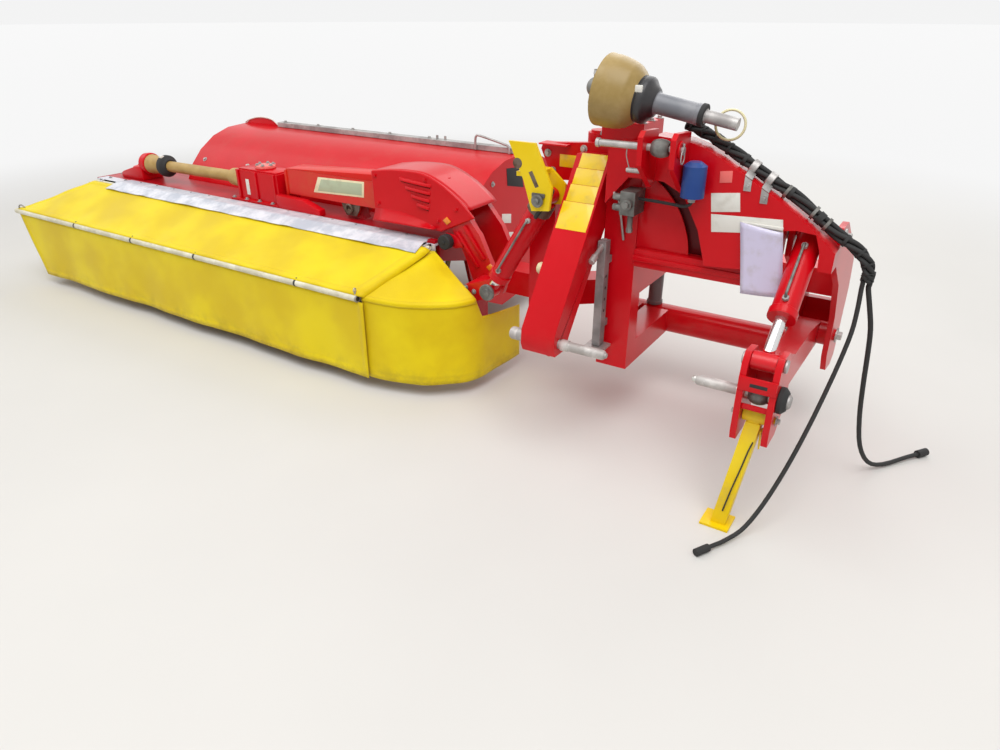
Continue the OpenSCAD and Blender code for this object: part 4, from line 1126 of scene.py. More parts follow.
@dataclass
class Cover(Trim):
    """The cover over the boom's knee: arched roof, rolled fold, louvred face and flared lower lip."""

    body: str = "boom"
    top: tuple[Pair, ...] = (
        (-1708, 958), (-1600, 974), (-1500, 981), (-1385, 978), (-1281, 944), (-1163, 875), (-1078, 800))
    foot: tuple[Pair, ...] = ((-1275, 706), (-1700, 714))
    brim: tuple[Pair, ...] = (
        (-1696, 778), (-1612, 782), (-1528, 781), (-1465, 771), (-1402, 756), (-1349, 740), (-1300, 720))
    screws: tuple[Pair, ...] = ((-1680, 936), (-1360, 952), (-1180, 830), (-1668, 800), (-1290, 760))
    face_y: float = 481.7
    deep: float = 15.5
    roof_end: float = -1110.0
    rear_y: float = 736.0
    slots: int = 4

    @staticmethod
    def louvre(i: int) -> tuple[Pair, Pair]:
        """Returns both ends of a louvre's upper edge in X and Z."""
        return (-1516 + 34 * i, 936 - 37 * i), (-1330 - 6 * i, 922 - 37 * i)

    def face(self, arch: Sequence[Pair]) -> Piece:
        """Returns the face with its rolled rim and its slots cut."""
        y = self.face_y
        face = Bench.slab(Y, y, [*arch, *self.foot], self.deep, 0.0)
        rim = face.modifiers.new("rim", "BEVEL")
        rim.width, rim.segments, rim.limit_method, rim.angle_limit = 7 * MM, 4, "ANGLE", math.radians(50)
        cutters = []
        for i in range(self.slots):
            (ax, az), (bx, bz) = self.louvre(i)
            cutters.append(Bench.slab(Y, y - 5, [(ax, az), (bx, bz), (bx, bz - 12), (ax + 6, az - 12)], 30, 0.0))
            cut = face.modifiers.new("cut", "BOOLEAN")
            cut.object, cut.solver = cutters[-1], "EXACT"
        Bench.pick(face)
        for name in [m.name for m in face.modifiers]:
            bpy.ops.object.modifier_apply(modifier=name)
        for cutter in cutters:
            bpy.data.objects.remove(cutter)
        bpy.ops.object.shade_smooth_by_angle(angle=math.radians(SMOOTH))
        return face

    def lip(self, i: int) -> Piece:
        """Returns the raised lip over a slot."""
        (ax, az), (bx, bz) = self.louvre(i)
        return Bench.skin([[(ax - 4 + (bx - ax + 8) * u, self.face_y + out * math.sin(math.pi * u) ** 0.35,
                             az + (bz - az) * u + drop) for u in (0.0, 0.02, 0.06, 0.15, 0.5, 0.85, 0.94, 0.98, 1.0)]
                           for out, drop in ((0.5, 10), (-4, 8), (-8, 3), (-10.5, -3), (-11, -5))], 2.0)

    def build(self) -> None:
        """Models the cover and lets it stand for the plain solid."""
        arch, y, rear = profile(self.top, 6), self.face_y, self.rear_y
        parts = [self.face(arch), *[self.lip(i) for i in range(self.slots)]]
        rows = []
        for t in [k / 7 for k in range(8)]:
            rows.append([(x + (8 * t if i == 0 else 0), y + 3 - 36 * t ** 1.5, z + (715 + 8 * (i / 6) - z) * t)
                         for i, (x, z) in enumerate(self.brim)])
        parts.append(Bench.skin(rows, 3.0))
        roof = [q for q in arch if q[0] < self.roof_end]
        parts.append(Bench.skin([[(x, y + 10 + (rear - y - 10) * k / 8, z - 3.2) for x, z in roof]
                                 for k in range(9)], 4.0))
        skirt = [(x, z - 2) for x, z in roof if x < -1250]
        parts.append(Bench.slab(Y, rear - 6, [*skirt, (-1262, 900), (-1706, 920)], 6))
        parts += [Bench.block((x, 578, 880), (x + 40, 598, 950)) for x in (-1700, -1330)]
        cover = self.put("knee_cover", RED, *parts)
        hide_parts("boom_cover")
        self.put("cover_screws", RED, Bench.bolts(15, facing(FORWARD, [(x, y, z) for x, z in self.screws])))


@dataclass
class ShaftGuard(Trim):
    """The drive shaft's guard: ribbed bell, dark clamping ring with its slide, sleeve and end ring."""

    body: str = "pto_half_shaft"
    centre: Triple = (-300.0, 300.0, 1415.0)
    way: Triple = (0.9858, 0.0, -0.1678)

    def build(self) -> None:
        """Models the guard over the plain solid."""
        bell = [(-60, 128), (-52, 128), (-46, 126.5), (-25, 127), (-8, 125.5), (10, 122.5), (28, 118), (44, 112.5),
                (58, 105.5), (70, 97), (80, 87), (88, 78)]
        for k in range(4):
            bell.insert(5 + 2 * k, (bell[4 + 2 * k][0] + 7, bell[4 + 2 * k][1] - 1.4))
        inside = [(d, r - 5) for d, r in reversed(bell)]
        inside[0] = (82, 62)
        neck = [(92, 80), (96, 82), (112, 82), (118, 79), (124, 72), (134, 60), (146, 50), (152, 38), (156, 36),
                (300, 36), (302, 37.5), (330, 37.5), (330, 25.3), (84, 25.3)]
        outline = bell + neck + inside
        guard = self.put("shaft_guard", SHAFT_GUARD, Bench.turned(self.centre, self.way, outline, 64))
        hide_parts("pto_guard")
        self.put("guard_end_ring", BLACK, Bench.turned(
            self.centre, self.way, [(314, 37), (316, 40), (330, 40), (332, 38), (332, 26), (314, 26)]))
        spot, half = Vector(self.centre) + Vector(self.way) * 104 + Vector((0, -70, 44)), Vector((14, 6, 12))
        self.put("guard_slide", LABEL, Bench.block(tuple(spot - half), tuple(spot + half), 3.0))


@dataclass
class HeadTrim(Trim):
    """Small pieces on the headstock: plates, card, clamps, bushes, pipes, web, knob and bolts."""

    body: str = "headstock"
    plate_y: float = 299.7
    column_x: float = -500.0
    link: Pair = (200, 1255)
    web_x: float = -209.5

    def labels(self) -> None:
        """Lays the blank plates, the stickers on the strut and the sleeved card."""
        for name, finish, corners in (
                ("blank_plate_a", LABEL, [(82, 1101), (184, 1114), (194, 1048), (91, 1034)]),
                ("blank_plate_b", LABEL, [(92, 1027), (343, 1041), (351, 993), (101, 962)]),
                ("pale_red_plate", PALE_RED, [(104, 1180), (148, 1186), (150, 1146), (107, 1140)])):
            self.put(name, finish, Bench.slab(Y, self.plate_y, corners, -1.2, 0.4))
        self.put("rear_sticker", YELLOW_LABEL, Bench.slab(Y, 439.6, box(-609, 1100, -528, 1150), -0.8, 0.3))
        foot, slope = Vector((0, -40, 560)), Vector((0, 418, 612)).normalized()
        face = Vector((0, -612, 418)).normalized()
        for i, (x0, x1, s0, s1) in enumerate(((-492, -358, 426, 541), (-484, -362, 542.5, 613),
                                              (-480, -362, 614.5, 682), (-476, -362, 683.5, 746))):
            corners = [tuple(foot + slope * t + face * 0.3 + Vector((x, 0, 0)))
                       for x, t in ((x0, s0), (x1, s0), (x1, s1), (x0, s1))]
            self.put(f"strut_sticker_{i + 1}", YELLOW_LABEL, Bench.plate(corners, tuple(face * 0.7), 0.25))
        eighths = [i / 8 for i in range(9)]
        self.put("sleeved_card", CARD, Bench.skin(
            [[(201 + 42 * t + (151 - 5 * t) * u, 292 - 5 * math.sin(math.pi * u) - 14 * t * t * (1 - u),
               1015 - 17 * u - (256 - 23 * u) * t) for u in eighths] for t in [k / 12 for k in range(13)]], 1.2))
        self.put("card_clip", LABEL, Bench.block((204, 293, 1004), (350, 299.6, 1016), 2.0))

    def hoses(self) -> None:
        """Clamps the bundle to the head plate and hangs the wire ring over it."""
        for i, (x, z, edge) in enumerate(((206, 1195, 1167), (268, 1160, 1131))):
            near, far = x - 13, x + 13
            self.put(f"bundle_clamp_{i + 1}", ZINC,
                     Bench.rod((x - 11, 360, z + 6), (x + 11, 360, z - 6), 26.5, 32, 1.5),
                     Bench.slab(Y, 299.6, [(near, edge + 6), (far, edge - 8), (far, edge - 44), (near, edge - 44)],
                                -3, 0.8),
                     Bench.plate([(near, 297, edge + 8), (far, 297, edge - 6), (far, 340, z - 22), (near, 340, z - 8)],
                                 (0, 0, 3.5), 0.6))
            self.put(f"clamp_bolt_{i + 1}", ZINC, Bench.bolts(15, [((x, 296.6, edge - 26), FORWARD)]))
        self.put("hose_ring", CREAM, Bench.ring((104, 348, 1330), (0.25, -0.95, 0.1), 50, 4.6))
        self.put("bundle_ties", VALVE, *[Bench.rod((x - 5, 357, z + 3), (x + 5, 357, z - 3), 24.6, 32, 1.0)
                                         for x, z in ((330, 1126), (430, 1066), (478, 1031))])

    def pins(self) -> None:
        """Adds the top link's bush, its lynch pin, washers and the spare pin."""
        y, z = self.link
        self.put("link_bush", VALVE, Bench.turned((-85, y, z), OUTWARD, [
            (-32, 13), (-32, 22), (-26, 27), (-14, 31), (0, 32.5), (14, 31), (26, 27), (32, 22), (32, 13)]))
        self.put("ear_collars", RED, *[Bench.rod((x0, y, z), (x1, y, z), 31, 32, 1.5)
                                       for x0, x1 in ((-161, -154.6), (-15.4, -9))])
        self.put("lynch_pin", ZINC, Bench.ring((-4, y, 1233), (1, 0.1, 0), 24, 2.4),
                 Bench.rod((-4, y, 1240), (-4, y, 1278), 4.5, 16, 1.0))
        self.put("spare_pin", ZINC, Bench.rod((-214, 214, 1166), (-154.6, 214, 1166), 9, 24, 2.5))
        self.put("pin_strap", ZINC, Bench.pipe([(-205, 214, 1176), (-214, 206, 1215), (-212, 200, 1240)], 2.2))
        self.put("strut_tab", RED, Bench.slab(
            X, -431, [(24, 468.5), (58, 468.5), (90, 446), (78, 416), (50, 422), (26, 450)], 12))
        self.put("pivot_bolts", ZINC, Bench.bolts(38, [
            ((x, y, z), (way, 0, 0)) for y, z, ends in ((840, 450, (343.8, 535.2)), (430, 975, (347.8, 531.2)))
            for x, way in zip(ends, (-1, 1))]))

    def pipes(self) -> None:
        """Adds the valve's unions, its bent pipe, the post between the beams and the prop's pin."""
        pipe = Bench.pipe([(-262, 354, 860), (-276, 346, 950), (-288, 332, 1030), (-294, 306, 1056), (-286, 290, 1047)],
                          5.0)
        ends = (((-275, 290, 1005), (-289, 290, 1005)), ((-275, 290, 1045), (-289, 290, 1045)),
                ((-215, 290, 932), (-215, 290, 914)), ((-215, 241, 1030), (-215, 226, 1030)))
        self.put("valve_unions", VALVE, *[Bench.rod(a, b, 13, 6, 1.0) for a, b in ends],
                 *[Bench.block((-251, 259, z), (-189, 359, z + 2.4), 0.4) for z in (1013.5, 1043.5)])
        self.put("valve_pipe", ZINC, pipe)
        self.put("beam_post", GREY_PAINT, Bench.turned((-300, 900, 0), UPWARD, [
            (405.3, 1), (405.3, 38), (420, 38), (424, 33), (596, 33), (600, 38), (614.7, 38), (614.7, 1)], 40))
        self.put("prop_pin", ZINC, Bench.rod((-326, 330, 856), (-326, 232, 812), 10, 24, 2.0),
                 Bench.rod((-326, 236, 814), (-326, 200, 797), 14, 24, 3.0))
        # Black discs where the prop's holes are: painted shade inside the holes.
        self.put("prop_hole_painted_shade", BLACK, *[Bench.rod((-308.2, 312, z), (-307.6, 312, z), 6.5, 20, 0.0)
                                        for z in range(560, 760, 50)])
        self.put("accumulator_line", BLACK, Bench.pipe([
            (30, 248, 1089), (28, 250, 1066), (0, 262, 1050), (-60, 285, 1046), (-130, 296, 1046), (-189, 300, 1046)],
            6.0))
        self.put("accumulator_neck", ZINC, Bench.turned((30, 248, 0), UPWARD, [
            (1072, 1), (1072, 13), (1082, 13), (1084, 20), (1090.2, 22), (1090.2, 1)], 24))

    def web(self) -> None:
        """Adds the web with its curved edge beside the column, a dark red plate behind it as painted shade in the gap,
        the rail below it and the sleeves on the left pin.
        """
        x, top, low = self.web_x, 1127, 838
        edge = profile([(-176, top), (-105, 1073), (-44, 998), (-9, 919), (2, 870), (6, low)], 5)
        self.put("web", RED, Bench.slab(Y, 362, [(x, top), *edge, (x, low)], 8))
        # Dark red plate behind the web's edge: painted shade in the gap between the web and the head plate.
        self.put("web_gap_painted_shade", SHADOW_RED, Bench.slab(
            Y, 391, [(x, top), (-130, 1120), (60, 1020), (100, low), (x, low)], 6, 0.5))
        self.put("web_rail", RED, Bench.block((x, 340, 762), (345, 398, low), 8.0),
                 Bench.block((x, 332, 790), (300, 341, 812), 3.0))
        self.put("left_pin_sleeves", SLEEVE,
                 Bench.turned((-534.5, 0, PIN_Z), INWARD, [
                     (0, 1), (0, 24), (4, 26), (26, 26), (33, 22), (36, 14), (36, 1)], 32),
                 Bench.turned((-338, 0, PIN_Z), OUTWARD, [
                     (0, 14.2), (0, 22), (2, 23), (30, 23), (33, 19.5), (176, 19.5), (184, 15), (184, 14.2)], 32))

    def knob(self) -> None:
        """Adds the knob on the strut's outer side with its chain and pin."""
        x = self.column_x
        self.put("strut_knob", CREAM, Bench.turned((x, 170, 745), INWARD, [
            (0.3, 1), (0.3, 12), (12, 12), (16, 20), (26, 25), (38, 25), (46, 20), (50, 10), (50, 1)], 32))
        links = [Bench.ring((x - 22 + 2 * math.sin(i), 165 - 3 * i, 725 - 11 * i), OUTWARD if i % 2 else BACKWARD,
                            6.4, 1.6) for i in range(13)]
        self.put("knob_chain", TAN, *links, Bench.rod((x - 24, 126, 578), (x - 16, 96, 520), 5, 16, 1.0))
        self.put("side_pin", ZINC, Bench.rod((x + 0.3, 215, 668), (x - 46, 215, 668), 8, 24, 2.0))

    def bolts(self) -> None:
        """Adds bolt heads on the gearbox, the carrier and the beams."""
        heads = facing(FORWARD, [(x, 439.8, z) for x, z in ((-666, 1150), (-640, 1080), (-500, 1180), (-252, 1196),
                                                            (-252, 1030))])
        heads += facing(UPWARD, [(x, y, 1290.2) for x in (-428, -274) for y in (488, 574, 662)])
        heads += facing(INWARD, [(-440.2, y, z) for y in (490, 660) for z in (985, 1080, 1240)])
        heads += facing(UPWARD, [(-395 + a, 570 + b, 1420.2) for a, b in circle(6, 46)[:4]])
        heads += facing(BACKWARD, [(-350 + a, 698.2, 1150 + b) for a, b in circle(6, 56, 0.2)])
        heads += facing(FORWARD, [(x, 839.8, z) for x in (-150, 250) for z in (640, 700)])
        self.put("head_bolts", ZINC, Bench.bolts(19, heads))

    def build(self) -> None:
        """Builds the headstock's trim."""
        for step in (self.labels, self.hoses, self.pins, self.pipes, self.web, self.knob, self.bolts):
            step()


@dataclass
class ArmTrim(Trim):
    """Small pieces on the right arm, its cylinder, the leg and the hitch pin."""

    body: str = "right_arm"
    middle: float = 425.0
    fork_z: float = 640.0

    def pin(self) -> None:
        """Adds the ball, the collar and the sleeve of the right lower pin."""
        for name, finish, x, outline, sides in (
                ("hitch_ball", VALVE, self.middle, [(-33, 18.2), (-33, 22), (-24, 29), (-12, 34), (0, 35.5), (12, 34),
                                                    (24, 29), (33, 22), (33, 18.2)], 48),
                ("hitch_collar", BLACK, 0, [(490.4, 18.2), (490.4, 45), (493, 47), (506, 47), (512, 41), (520, 33),
                                            (520, 18.2)], 48),
                ("collar_nose", ZINC, 0, [(520.2, 1), (520.2, 25), (526, 25), (531, 19), (531, 1)], 48),
                ("right_pin_sleeve", SLEEVE, 206, [(0, 14.2), (0, 16), (6, 19), (140, 19), (146, 17), (146, 14.2)],
                 32)):
            self.put(name, finish, Bench.turned((x, 0, PIN_Z), OUTWARD, outline, sides))

    def build(self) -> None:
        """Builds the right side's trim."""
        m, z = self.middle, self.fork_z
        self.pin()
        self.put("fork_plates", RED, Bench.slab(Y, -55.8, box(361, 548, 489, 600), -7, 2.0),
                 Bench.slab(Y, -49, box(382.2, 473, 467.8, 494), 6, 1.5))
        for name, finish, radius, sides, spans in (("fork_caps", ZINC, 23, 32, ((351, 359.7), (490.3, 500))),
                                                   ("fork_bosses", RED, 33, 40, ((359.8, 383), (467, 490.2)))):
            self.put(name, finish, *[Bench.rod((a, 0, z), (b, 0, z), radius, sides, 2.0) for a, b in spans])
        # Thin black plate where the fork's slot is: painted shade inside the slot.
        self.put("fork_slot_painted_shade", BLACK, Bench.slab(Y, -63.0, box(m - 24, 580, m + 34, 567), -0.5, 0.2))
        self.put("arm_ribs", RED, *[Bench.slab(X, x, [(150.5, 560), (320, 552), (150.5, 622)], 8)
                                    for x in (m - 42, m + 34)])
        self.put("leg_pin_heads", ZINC, Bench.bolts(22, [((m + 69.2 * way, 5, 430), (way, 0, 0)) for way in (-1, 1)]),
                 body="parking_leg")
        self.put("leg_line", BLACK, Bench.pipe([(m + 14, -30, 345), (m + 6, -46, 310), (m - 6, -58, 240),
                                                (m - 22, -73, 155), (m - 36, -89, 66)], 2.6), body="parking_leg")
        self.put("leg_flange", YELLOW, Bench.slab(X, m + 26.3, [(-16, 384), (20, 384), (8, 300)], 6),
                 body="parking_leg")
        self.cylinder(("gland", "arm_ports", "arm_port_line", "arm_barrel"), (m, 430, 975), (m, 0, z),
                      [(338, 21), (338, 47), (342, 50), (366, 50), (370, 47), (370, 21)], (96, 318), (0, -0.61, 0.79),
                      [(1, 12, 0), (1, 24, -6), (1, 26, -34), (0, 26, 34), (0, 24, 6), (0, 12, 0)])


@dataclass
class LiftTrim(Trim):
    """Small pieces on the swing frame, the lift cylinder, the boom and its pivot."""

    body: str = "boom"
    top: Triple = (-577, 280, 1007)
    eye: Triple = (-850, 280, 552)

    def lift(self) -> None:
        """Adds dark plates as painted shade in the bracket's openings, the bracket's cap, and the cylinder's collars,
        hose, gland and ports.
        """
        # Brown-grey disc and slot plate over the bracket's notch and slot: painted shade inside the openings.
        self.put("bracket_opening_painted_shade", BROWN_GREY, Bench.rod((-678, 211.8, 1142), (-678, 211.2, 1142), 21, 32, 0.0),
                 Bench.slab(Y, 211.8, [(-626, 1112), (-610, 1120), (-578, 1062), (-594, 1054)], -0.5, 0.2),
                 body="swing_frame")
        cap = Bench.turned((-577, 206, 1007), FORWARD, [
            (0, 1), (0, 24), (4, 26), (10, 26), (13, 22), (13, 12), (20, 12), (22, 9), (22, 1)], 24)
        self.put("lift_top_sleeve", BROWN_GREY, Bench.turned(self.top, (-0.514, 0, -0.8575), [
            (26, 44.6), (26, 50), (30, 53), (72, 53), (76, 50), (76, 44.6)], 40), body="lift_barrel")
        self.put("lift_eye_collar", VALVE, Bench.turned(self.eye, BACKWARD, [
            (-50, 1), (-50, 18), (-46, 20), (-46, 34), (-42, 38), (-34, 38), (-30, 34), (-30, 1)], 40), body="lift_rod")
        self.put("lift_pin_cap", VALVE, cap, Bench.block((-606, 203, 1020), (-548, 211.8, 1036), 2.0),
                 body="swing_frame")
        self.put("lift_hose", BLACK, Bench.pipe([(-560, 262, 1010), (-530, 236, 1046), (-540, 226, 1010),
                                                 (-578, 226, 962), (-602, 232, 930)], 9.0), body="lift_barrel")
        self.cylinder(("lift_gland", "lift_ports", "lift_port_line", "lift_barrel"), self.top, self.eye,
                      [(418, 23), (418, 47), (422, 50), (452, 50), (455.5, 47), (455.5, 23)], (110, 392), FORWARD,
                      [(1, 12, 0), (1, 22, -8), (1, 24, -36), (0, 24, 40), (0, 22, 8), (0, 12, 0)])

    def boom(self) -> None:
        """Adds the knee's ribs, the roller and its stop, the beam's taper, plates and hook."""
        y = 497.8
        ribs = [Bench.slab(Y, y, [(-1196 + d, 712 + d * 0.8), (-1180 + d, 724 + d * 0.8), (-1058 + d * 0.8, 566 + d),
                                  (-1074 + d * 0.8, 554 + d)], -12, 2.0) for d in (0, 44)]
        self.put("knee_ribs", RED, *ribs, Bench.slab(Y, y, [
            (-1250, 706), (-1190, 700), (-1135, 652), (-1196, 634), (-1252, 652), (-1256, 690)], -12, 2.0))
        x, z = -1233, 670
        self.put("buffer_roller", BLACK,
                 Bench.turned((x, 440, z), BACKWARD, [(0, 9), (0, 32), (5, 37), (36, 37), (41, 32), (41, 9)], 40),
                 Bench.rod((x, 436, z), (x, 486, z), 9, 20, 1.5))
        self.put("roller_stop", DEEP_RED, Bench.block((-1336, 444, 655.3), (-1286, 474, 671), 4.0),
                 Bench.block((-1350, 438, 655.3), (-1284, 480, 661), 1.5), body="mower")
        self.put("beam_taper", DUSTY_RED, Bench.slab(
            Y, 560.5, [(-2418, 880.2), (-1430, 936), (-1430, 880.2)], 139, 2.0))
        self.put("collar", DUSTY_RED, Bench.block((-2430, 553, 732), (-2412, 707, 872), 3.0))
        self.put("boom_label", CREAM_LABEL, Bench.slab(
            Y, 559.7, [(-2169, 860), (-1831, 872), (-1841, 788), (-2214, 772)], -1.2, 0.4))
        self.put("boom_label_field", GREEN_LABEL, Bench.slab(
            Y, 558.3, [(-2146, 850), (-1846, 861), (-1854, 798), (-2180, 784)], -0.5, 0.2))
        self.put("pivot_plate", BROWN_GREY, Bench.slab(Y, 574.6, [
            (-2022, 760), (-1878, 760), (-1892, 708), (-1914, 674), (-1986, 674), (-2008, 708)], -8, 2.0),
            Bench.ring((-1958, 560, 712), (0.1, 1, 0), 24, 6.0),
            Bench.rod((-1950, 566, 700), (-1950, 548, 700), 14, 24, 2.0))
        for i, (x, y, z) in enumerate(((-1236, 481, 768), (-996, 497.6, 570))):
            self.put(f"amber_diamond_{i + 1}", AMBER, Bench.slab(
                Y, y, [(x, z + 20), (x + 24, z), (x, z - 20), (x - 24, z)], -4, 1.2))
        hub = [(-1020 + a, 344.8, 480 + b) for a, b in circle(4, 34, 0.5)]
        self.put("lift_hub_bolts", ZINC, Bench.bolts(15, facing(FORWARD, hub)))

    def build(self) -> None:
        """Builds the trim of the lift and the boom, and the reflector on the swing frame."""
        self.lift()
        self.boom()
        self.put("orange_reflector", ORANGE, Bench.slab(
            Y, 435, [(-790, 1156), (-726, 1158), (-726, 1108), (-790, 1106)], -6, 1.5), body="swing_frame")
        self.put("reflector_arm", RED, Bench.slab(
            Y, 435.3, [(-796, 1162), (-724, 1164), (-720, 1102), (-796, 1100)], 4.0, 0.8),
            Bench.rod((-708, 352, 1150), (-744, 437, 1138), 6.5, 20, 1.0), body="swing_frame")


@dataclass
class MowerTrim(Trim):
    """Small pieces on the mower: gearbox ribs and caps, shaft collars, strips, bolts and hood fittings."""

    body: str = "mower"
    shaft_y: float = 610
    shaft_way: Triple = (1, 0, 0.0107)
    ribs_x: tuple[float, ...] = (-2804, -2652, -2500)
    rail_seat: Pair = (1300, 985.2)
    inner_end: float = -1309.6
    outer_end: float = -3600.2

    def gearboxes(self) -> None:
        """Dresses both gearboxes."""
        housing = self.put(
            "outer_housing", RED, Bench.slab(
                Y, 545, [(-4040, 655), (-4040, 686), (-4010, 700), (-3862, 744), (-3800, 748), (-3800, 655)], 155, 7.0),
            Bench.turned((-3822, self.shaft_y, 759), self.shaft_way, [
                (0, 1), (0, 58), (6, 66), (30, 66), (36, 70), (56, 70), (62, 66), (62, 1)], 48),
            Bench.slab(Y, 604, [(-4010, 690), (-3825, 800), (-3825, 690)], 12, 3.0))
        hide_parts("outer_gearbox")
        ribs = [Bench.block((x, y0, 672), (x + 12, y1, 838), 2.0) for y0, y1 in ((521, 529.6), (690.4, 699))
                for x in self.ribs_x]
        self.put("gearbox_ribs", RED, *ribs, Bench.block((-2806, 542, 839), (-2486, 678, 848), 4.0),
                 Bench.slab(Y, 504.6, [(-2469, 674), (-2469, 736), (-2260, 730), (-2130, 690), (-2130, 655.4),
                                       (-2452, 655.4), (-2452, 674)], 46, 4.0))
        self.put("bearing_ring", DEEP_RED, Bench.turned((-2820, self.shaft_y, 770), INWARD, [
            (0, 50), (0, 74), (3, 76), (7, 74), (7, 50)], 40))
        self.put("gearbox_caps", PALE_RED,
                 Bench.turned((-2645, self.shaft_y, 853), UPWARD, [
                     (0, 1), (0, 56), (3, 58), (13, 58), (17, 52), (17, 1)], 40),
                 Bench.turned((-3930, 620, 722), (-0.28, 0, 0.96), [
                     (0, 1), (0, 40), (3, 42), (9, 42), (12, 37), (12, 1)], 40))
        bolts = [(-2645 + a, self.shaft_y + b, 870) for a, b in circle(6, 46)]
        bolts += [(x, y, 673.2) for x in (-2850, -2740, -2630, -2520) for y in (519, 702) if (x, y) != (-2520, 702)]
        bolts += [(-4056, y, 669.4) for y in (560, 640, 700)]
        self.put("gearbox_bolts", ZINC, Bench.bolts(16, facing(UPWARD, bolts)))
        self.put("gearbox_label", LABEL, Bench.slab(Y, 529.6, box(-2742, 700, -2714, 790), -0.9, 0.3))

    def shaft(self) -> None:
        """Adds the dark collar, a pale chip on its top as a painted highlight, and the clamp on the guarded cross
        shaft.
        """
        self.put("shaft_collars", BLACK,
                 Bench.turned((-3630, self.shaft_y, 761.4), self.shaft_way, [
                     (0, 35), (0, 58), (5, 66), (14, 69), (40, 69), (48, 64), (54, 52), (64, 44), (64, 35)], 48),
                 Bench.turned((-2952, self.shaft_y, 768.6), self.shaft_way, [
                     (0, 34.2), (0, 40), (3, 42), (20, 42), (23, 40), (23, 34.2)], 40))
        # Pale chip on top of the dark collar: a painted highlight.
        self.put("collar_painted_highlight", LABEL, Bench.block((-3612, 566, 818), (-3588, 592, 832), 3.0))

    def deck(self) -> None:
        """Adds the strip's joints and bolts, and, on the hood's inner end, a black sheet as painted shade in its
        opening and the labels.
        """
        bolts = [(x, 484, 655.2) for x in range(-4080, -1320, 172) if not -2880 < x < -2440]
        self.put("deck_bolts", ZINC, Bench.bolts(14, facing(UPWARD, bolts)))
        self.put("strip_joints", ZINC, *[Bench.block((x, 432, 655.0), (x + 26, 505, 656.6), 0.6)
                                         for x in (-3480, -2140)])
        for name, finish, corners, thick, round_by in (
                # Black sheet over the hood end's opening: painted shade inside the opening.
                ("end_opening_painted_shade", BLACK, [(1140, 900), (1300, 884), (1326, 764), (1150, 804)], 1.2, 0.4),
                ("end_label_1", LABEL, [(1095, 658), (1192, 637), (1192, 584), (1095, 606)], 0.9, 0.3),
                ("end_label_2", LABEL, [(1171, 536), (1226, 523), (1227, 469), (1172, 483)], 0.9, 0.3)):
            self.put(name, finish, Bench.slab(X, self.inner_end, corners, thick, round_by))

    def hood(self) -> None:
        """Adds the rail's bent rod and studs, the hinge's edge and the bolts along the hood."""
        rod = [(-1597, 957), (-1597, 1010), (-1590, 1034), (-1560, 1036), (-1400, 1004), (-1374, 994), (-1367, 970),
               (-1367, 955)]
        y, z = self.rail_seat
        self.put("rail_fittings", ZINC, Bench.pipe([(x, 1262, z) for x, z in rod], 7.0),
                 *[Bench.rod((x, y, z), (x, y, 1008), 7.5, 20, 1.5) for x in (-1900, -1840)])
        self.put("hinge_plate", RED, Bench.slab(Y, 1292, [
            (-3598, 953), (-3560, 975), (-3480, 994), (-3400, 1000), (-3320, 990), (-3262, 953)], 7, 1.5))
        edge = [(-3602, 958), (-3560, 978), (-3480, 998), (-3400, 1004), (-3318, 993), (-3262, 958)]
        self.put("hinge_edge", LABEL, Bench.pipe([(x, 1291, z) for x, z in edge], 5.0))
        bolts = facing(UPWARD, [(x, y, z) for x in range(-3200, -1950, 310)])
        bolts += facing((0, -0.72, 0.69), [(x, 830, 780) for x in range(-3500, -1350, 420)])
        self.put("hood_bolts", ZINC, Bench.bolts(18, bolts))
        places = ((1000, 840), (1500, 860), (1720, 700), (1800, 500))
        ends = facing(OUTWARD, [(self.inner_end, y, z) for y, z in ((800, 690), *places)])
        ends += facing(INWARD, [(self.outer_end, y, z) for y, z in places])
        self.put("hood_end_bolts", ZINC, Bench.bolts(18, ends))

    def build(self) -> None:
        """Builds the mower's trim."""
        for step in (self.gearboxes, self.shaft, self.deck, self.hood):
            step()


@dataclass
class GuardTrim(Trim):
    """Small pieces on the front guard's rod."""

    body: str = "front_guard"
    y: float = 20.0
    z: float = 475.0
    inner: float = -1430.0
    clips: tuple[float, ...] = (-3780.0, -3191.0, -2616.0, -1837.0)

    def build(self) -> None:
        """Builds the rod's open end with painted shade inside it, eye bolt, clips and outer hook."""
        y, z, x = self.y, self.z, self.inner
        # Black disc inside the rod's open end: painted shade in the bore.
        self.put("bore", BLACK, Bench.rod((x - 1, y, z), (x + 0.6, y, z), 12.5, 24, 0.3))
        self.put("rod_fittings", ZINC,
                 Bench.turned((x, y, z), OUTWARD, [(-6, 17), (-6, 18.6), (1.6, 18.6), (1.6, 12.6), (0.2, 12.6)], 32),
                 Bench.ring((x - 14, y, z + 40), (1, 0.2, 0), 9, 3.2),
                 Bench.rod((x - 14, y, z + 16), (x - 14, y, z + 32), 5, 16, 1.0),
                 Bench.pipe([(-4440, y, z + 15), (-4436, y, z + 34), (-4420, y + 6, z + 44), (-4404, y + 14, z + 34),
                             (-4402, y + 18, z + 24)], 4.5))
        bands = []
        for clip in self.clips:
            bands.append(Bench.rod((clip - 6, y, z), (clip + 6, y, z), 18.4, 32, 0.8))
            bands.append(Bench.block((clip - 5, y + 2, z + 16), (clip + 5, y + 22, z + 25), 2.0))
        self.put("rod_clips", BLACK, *bands)


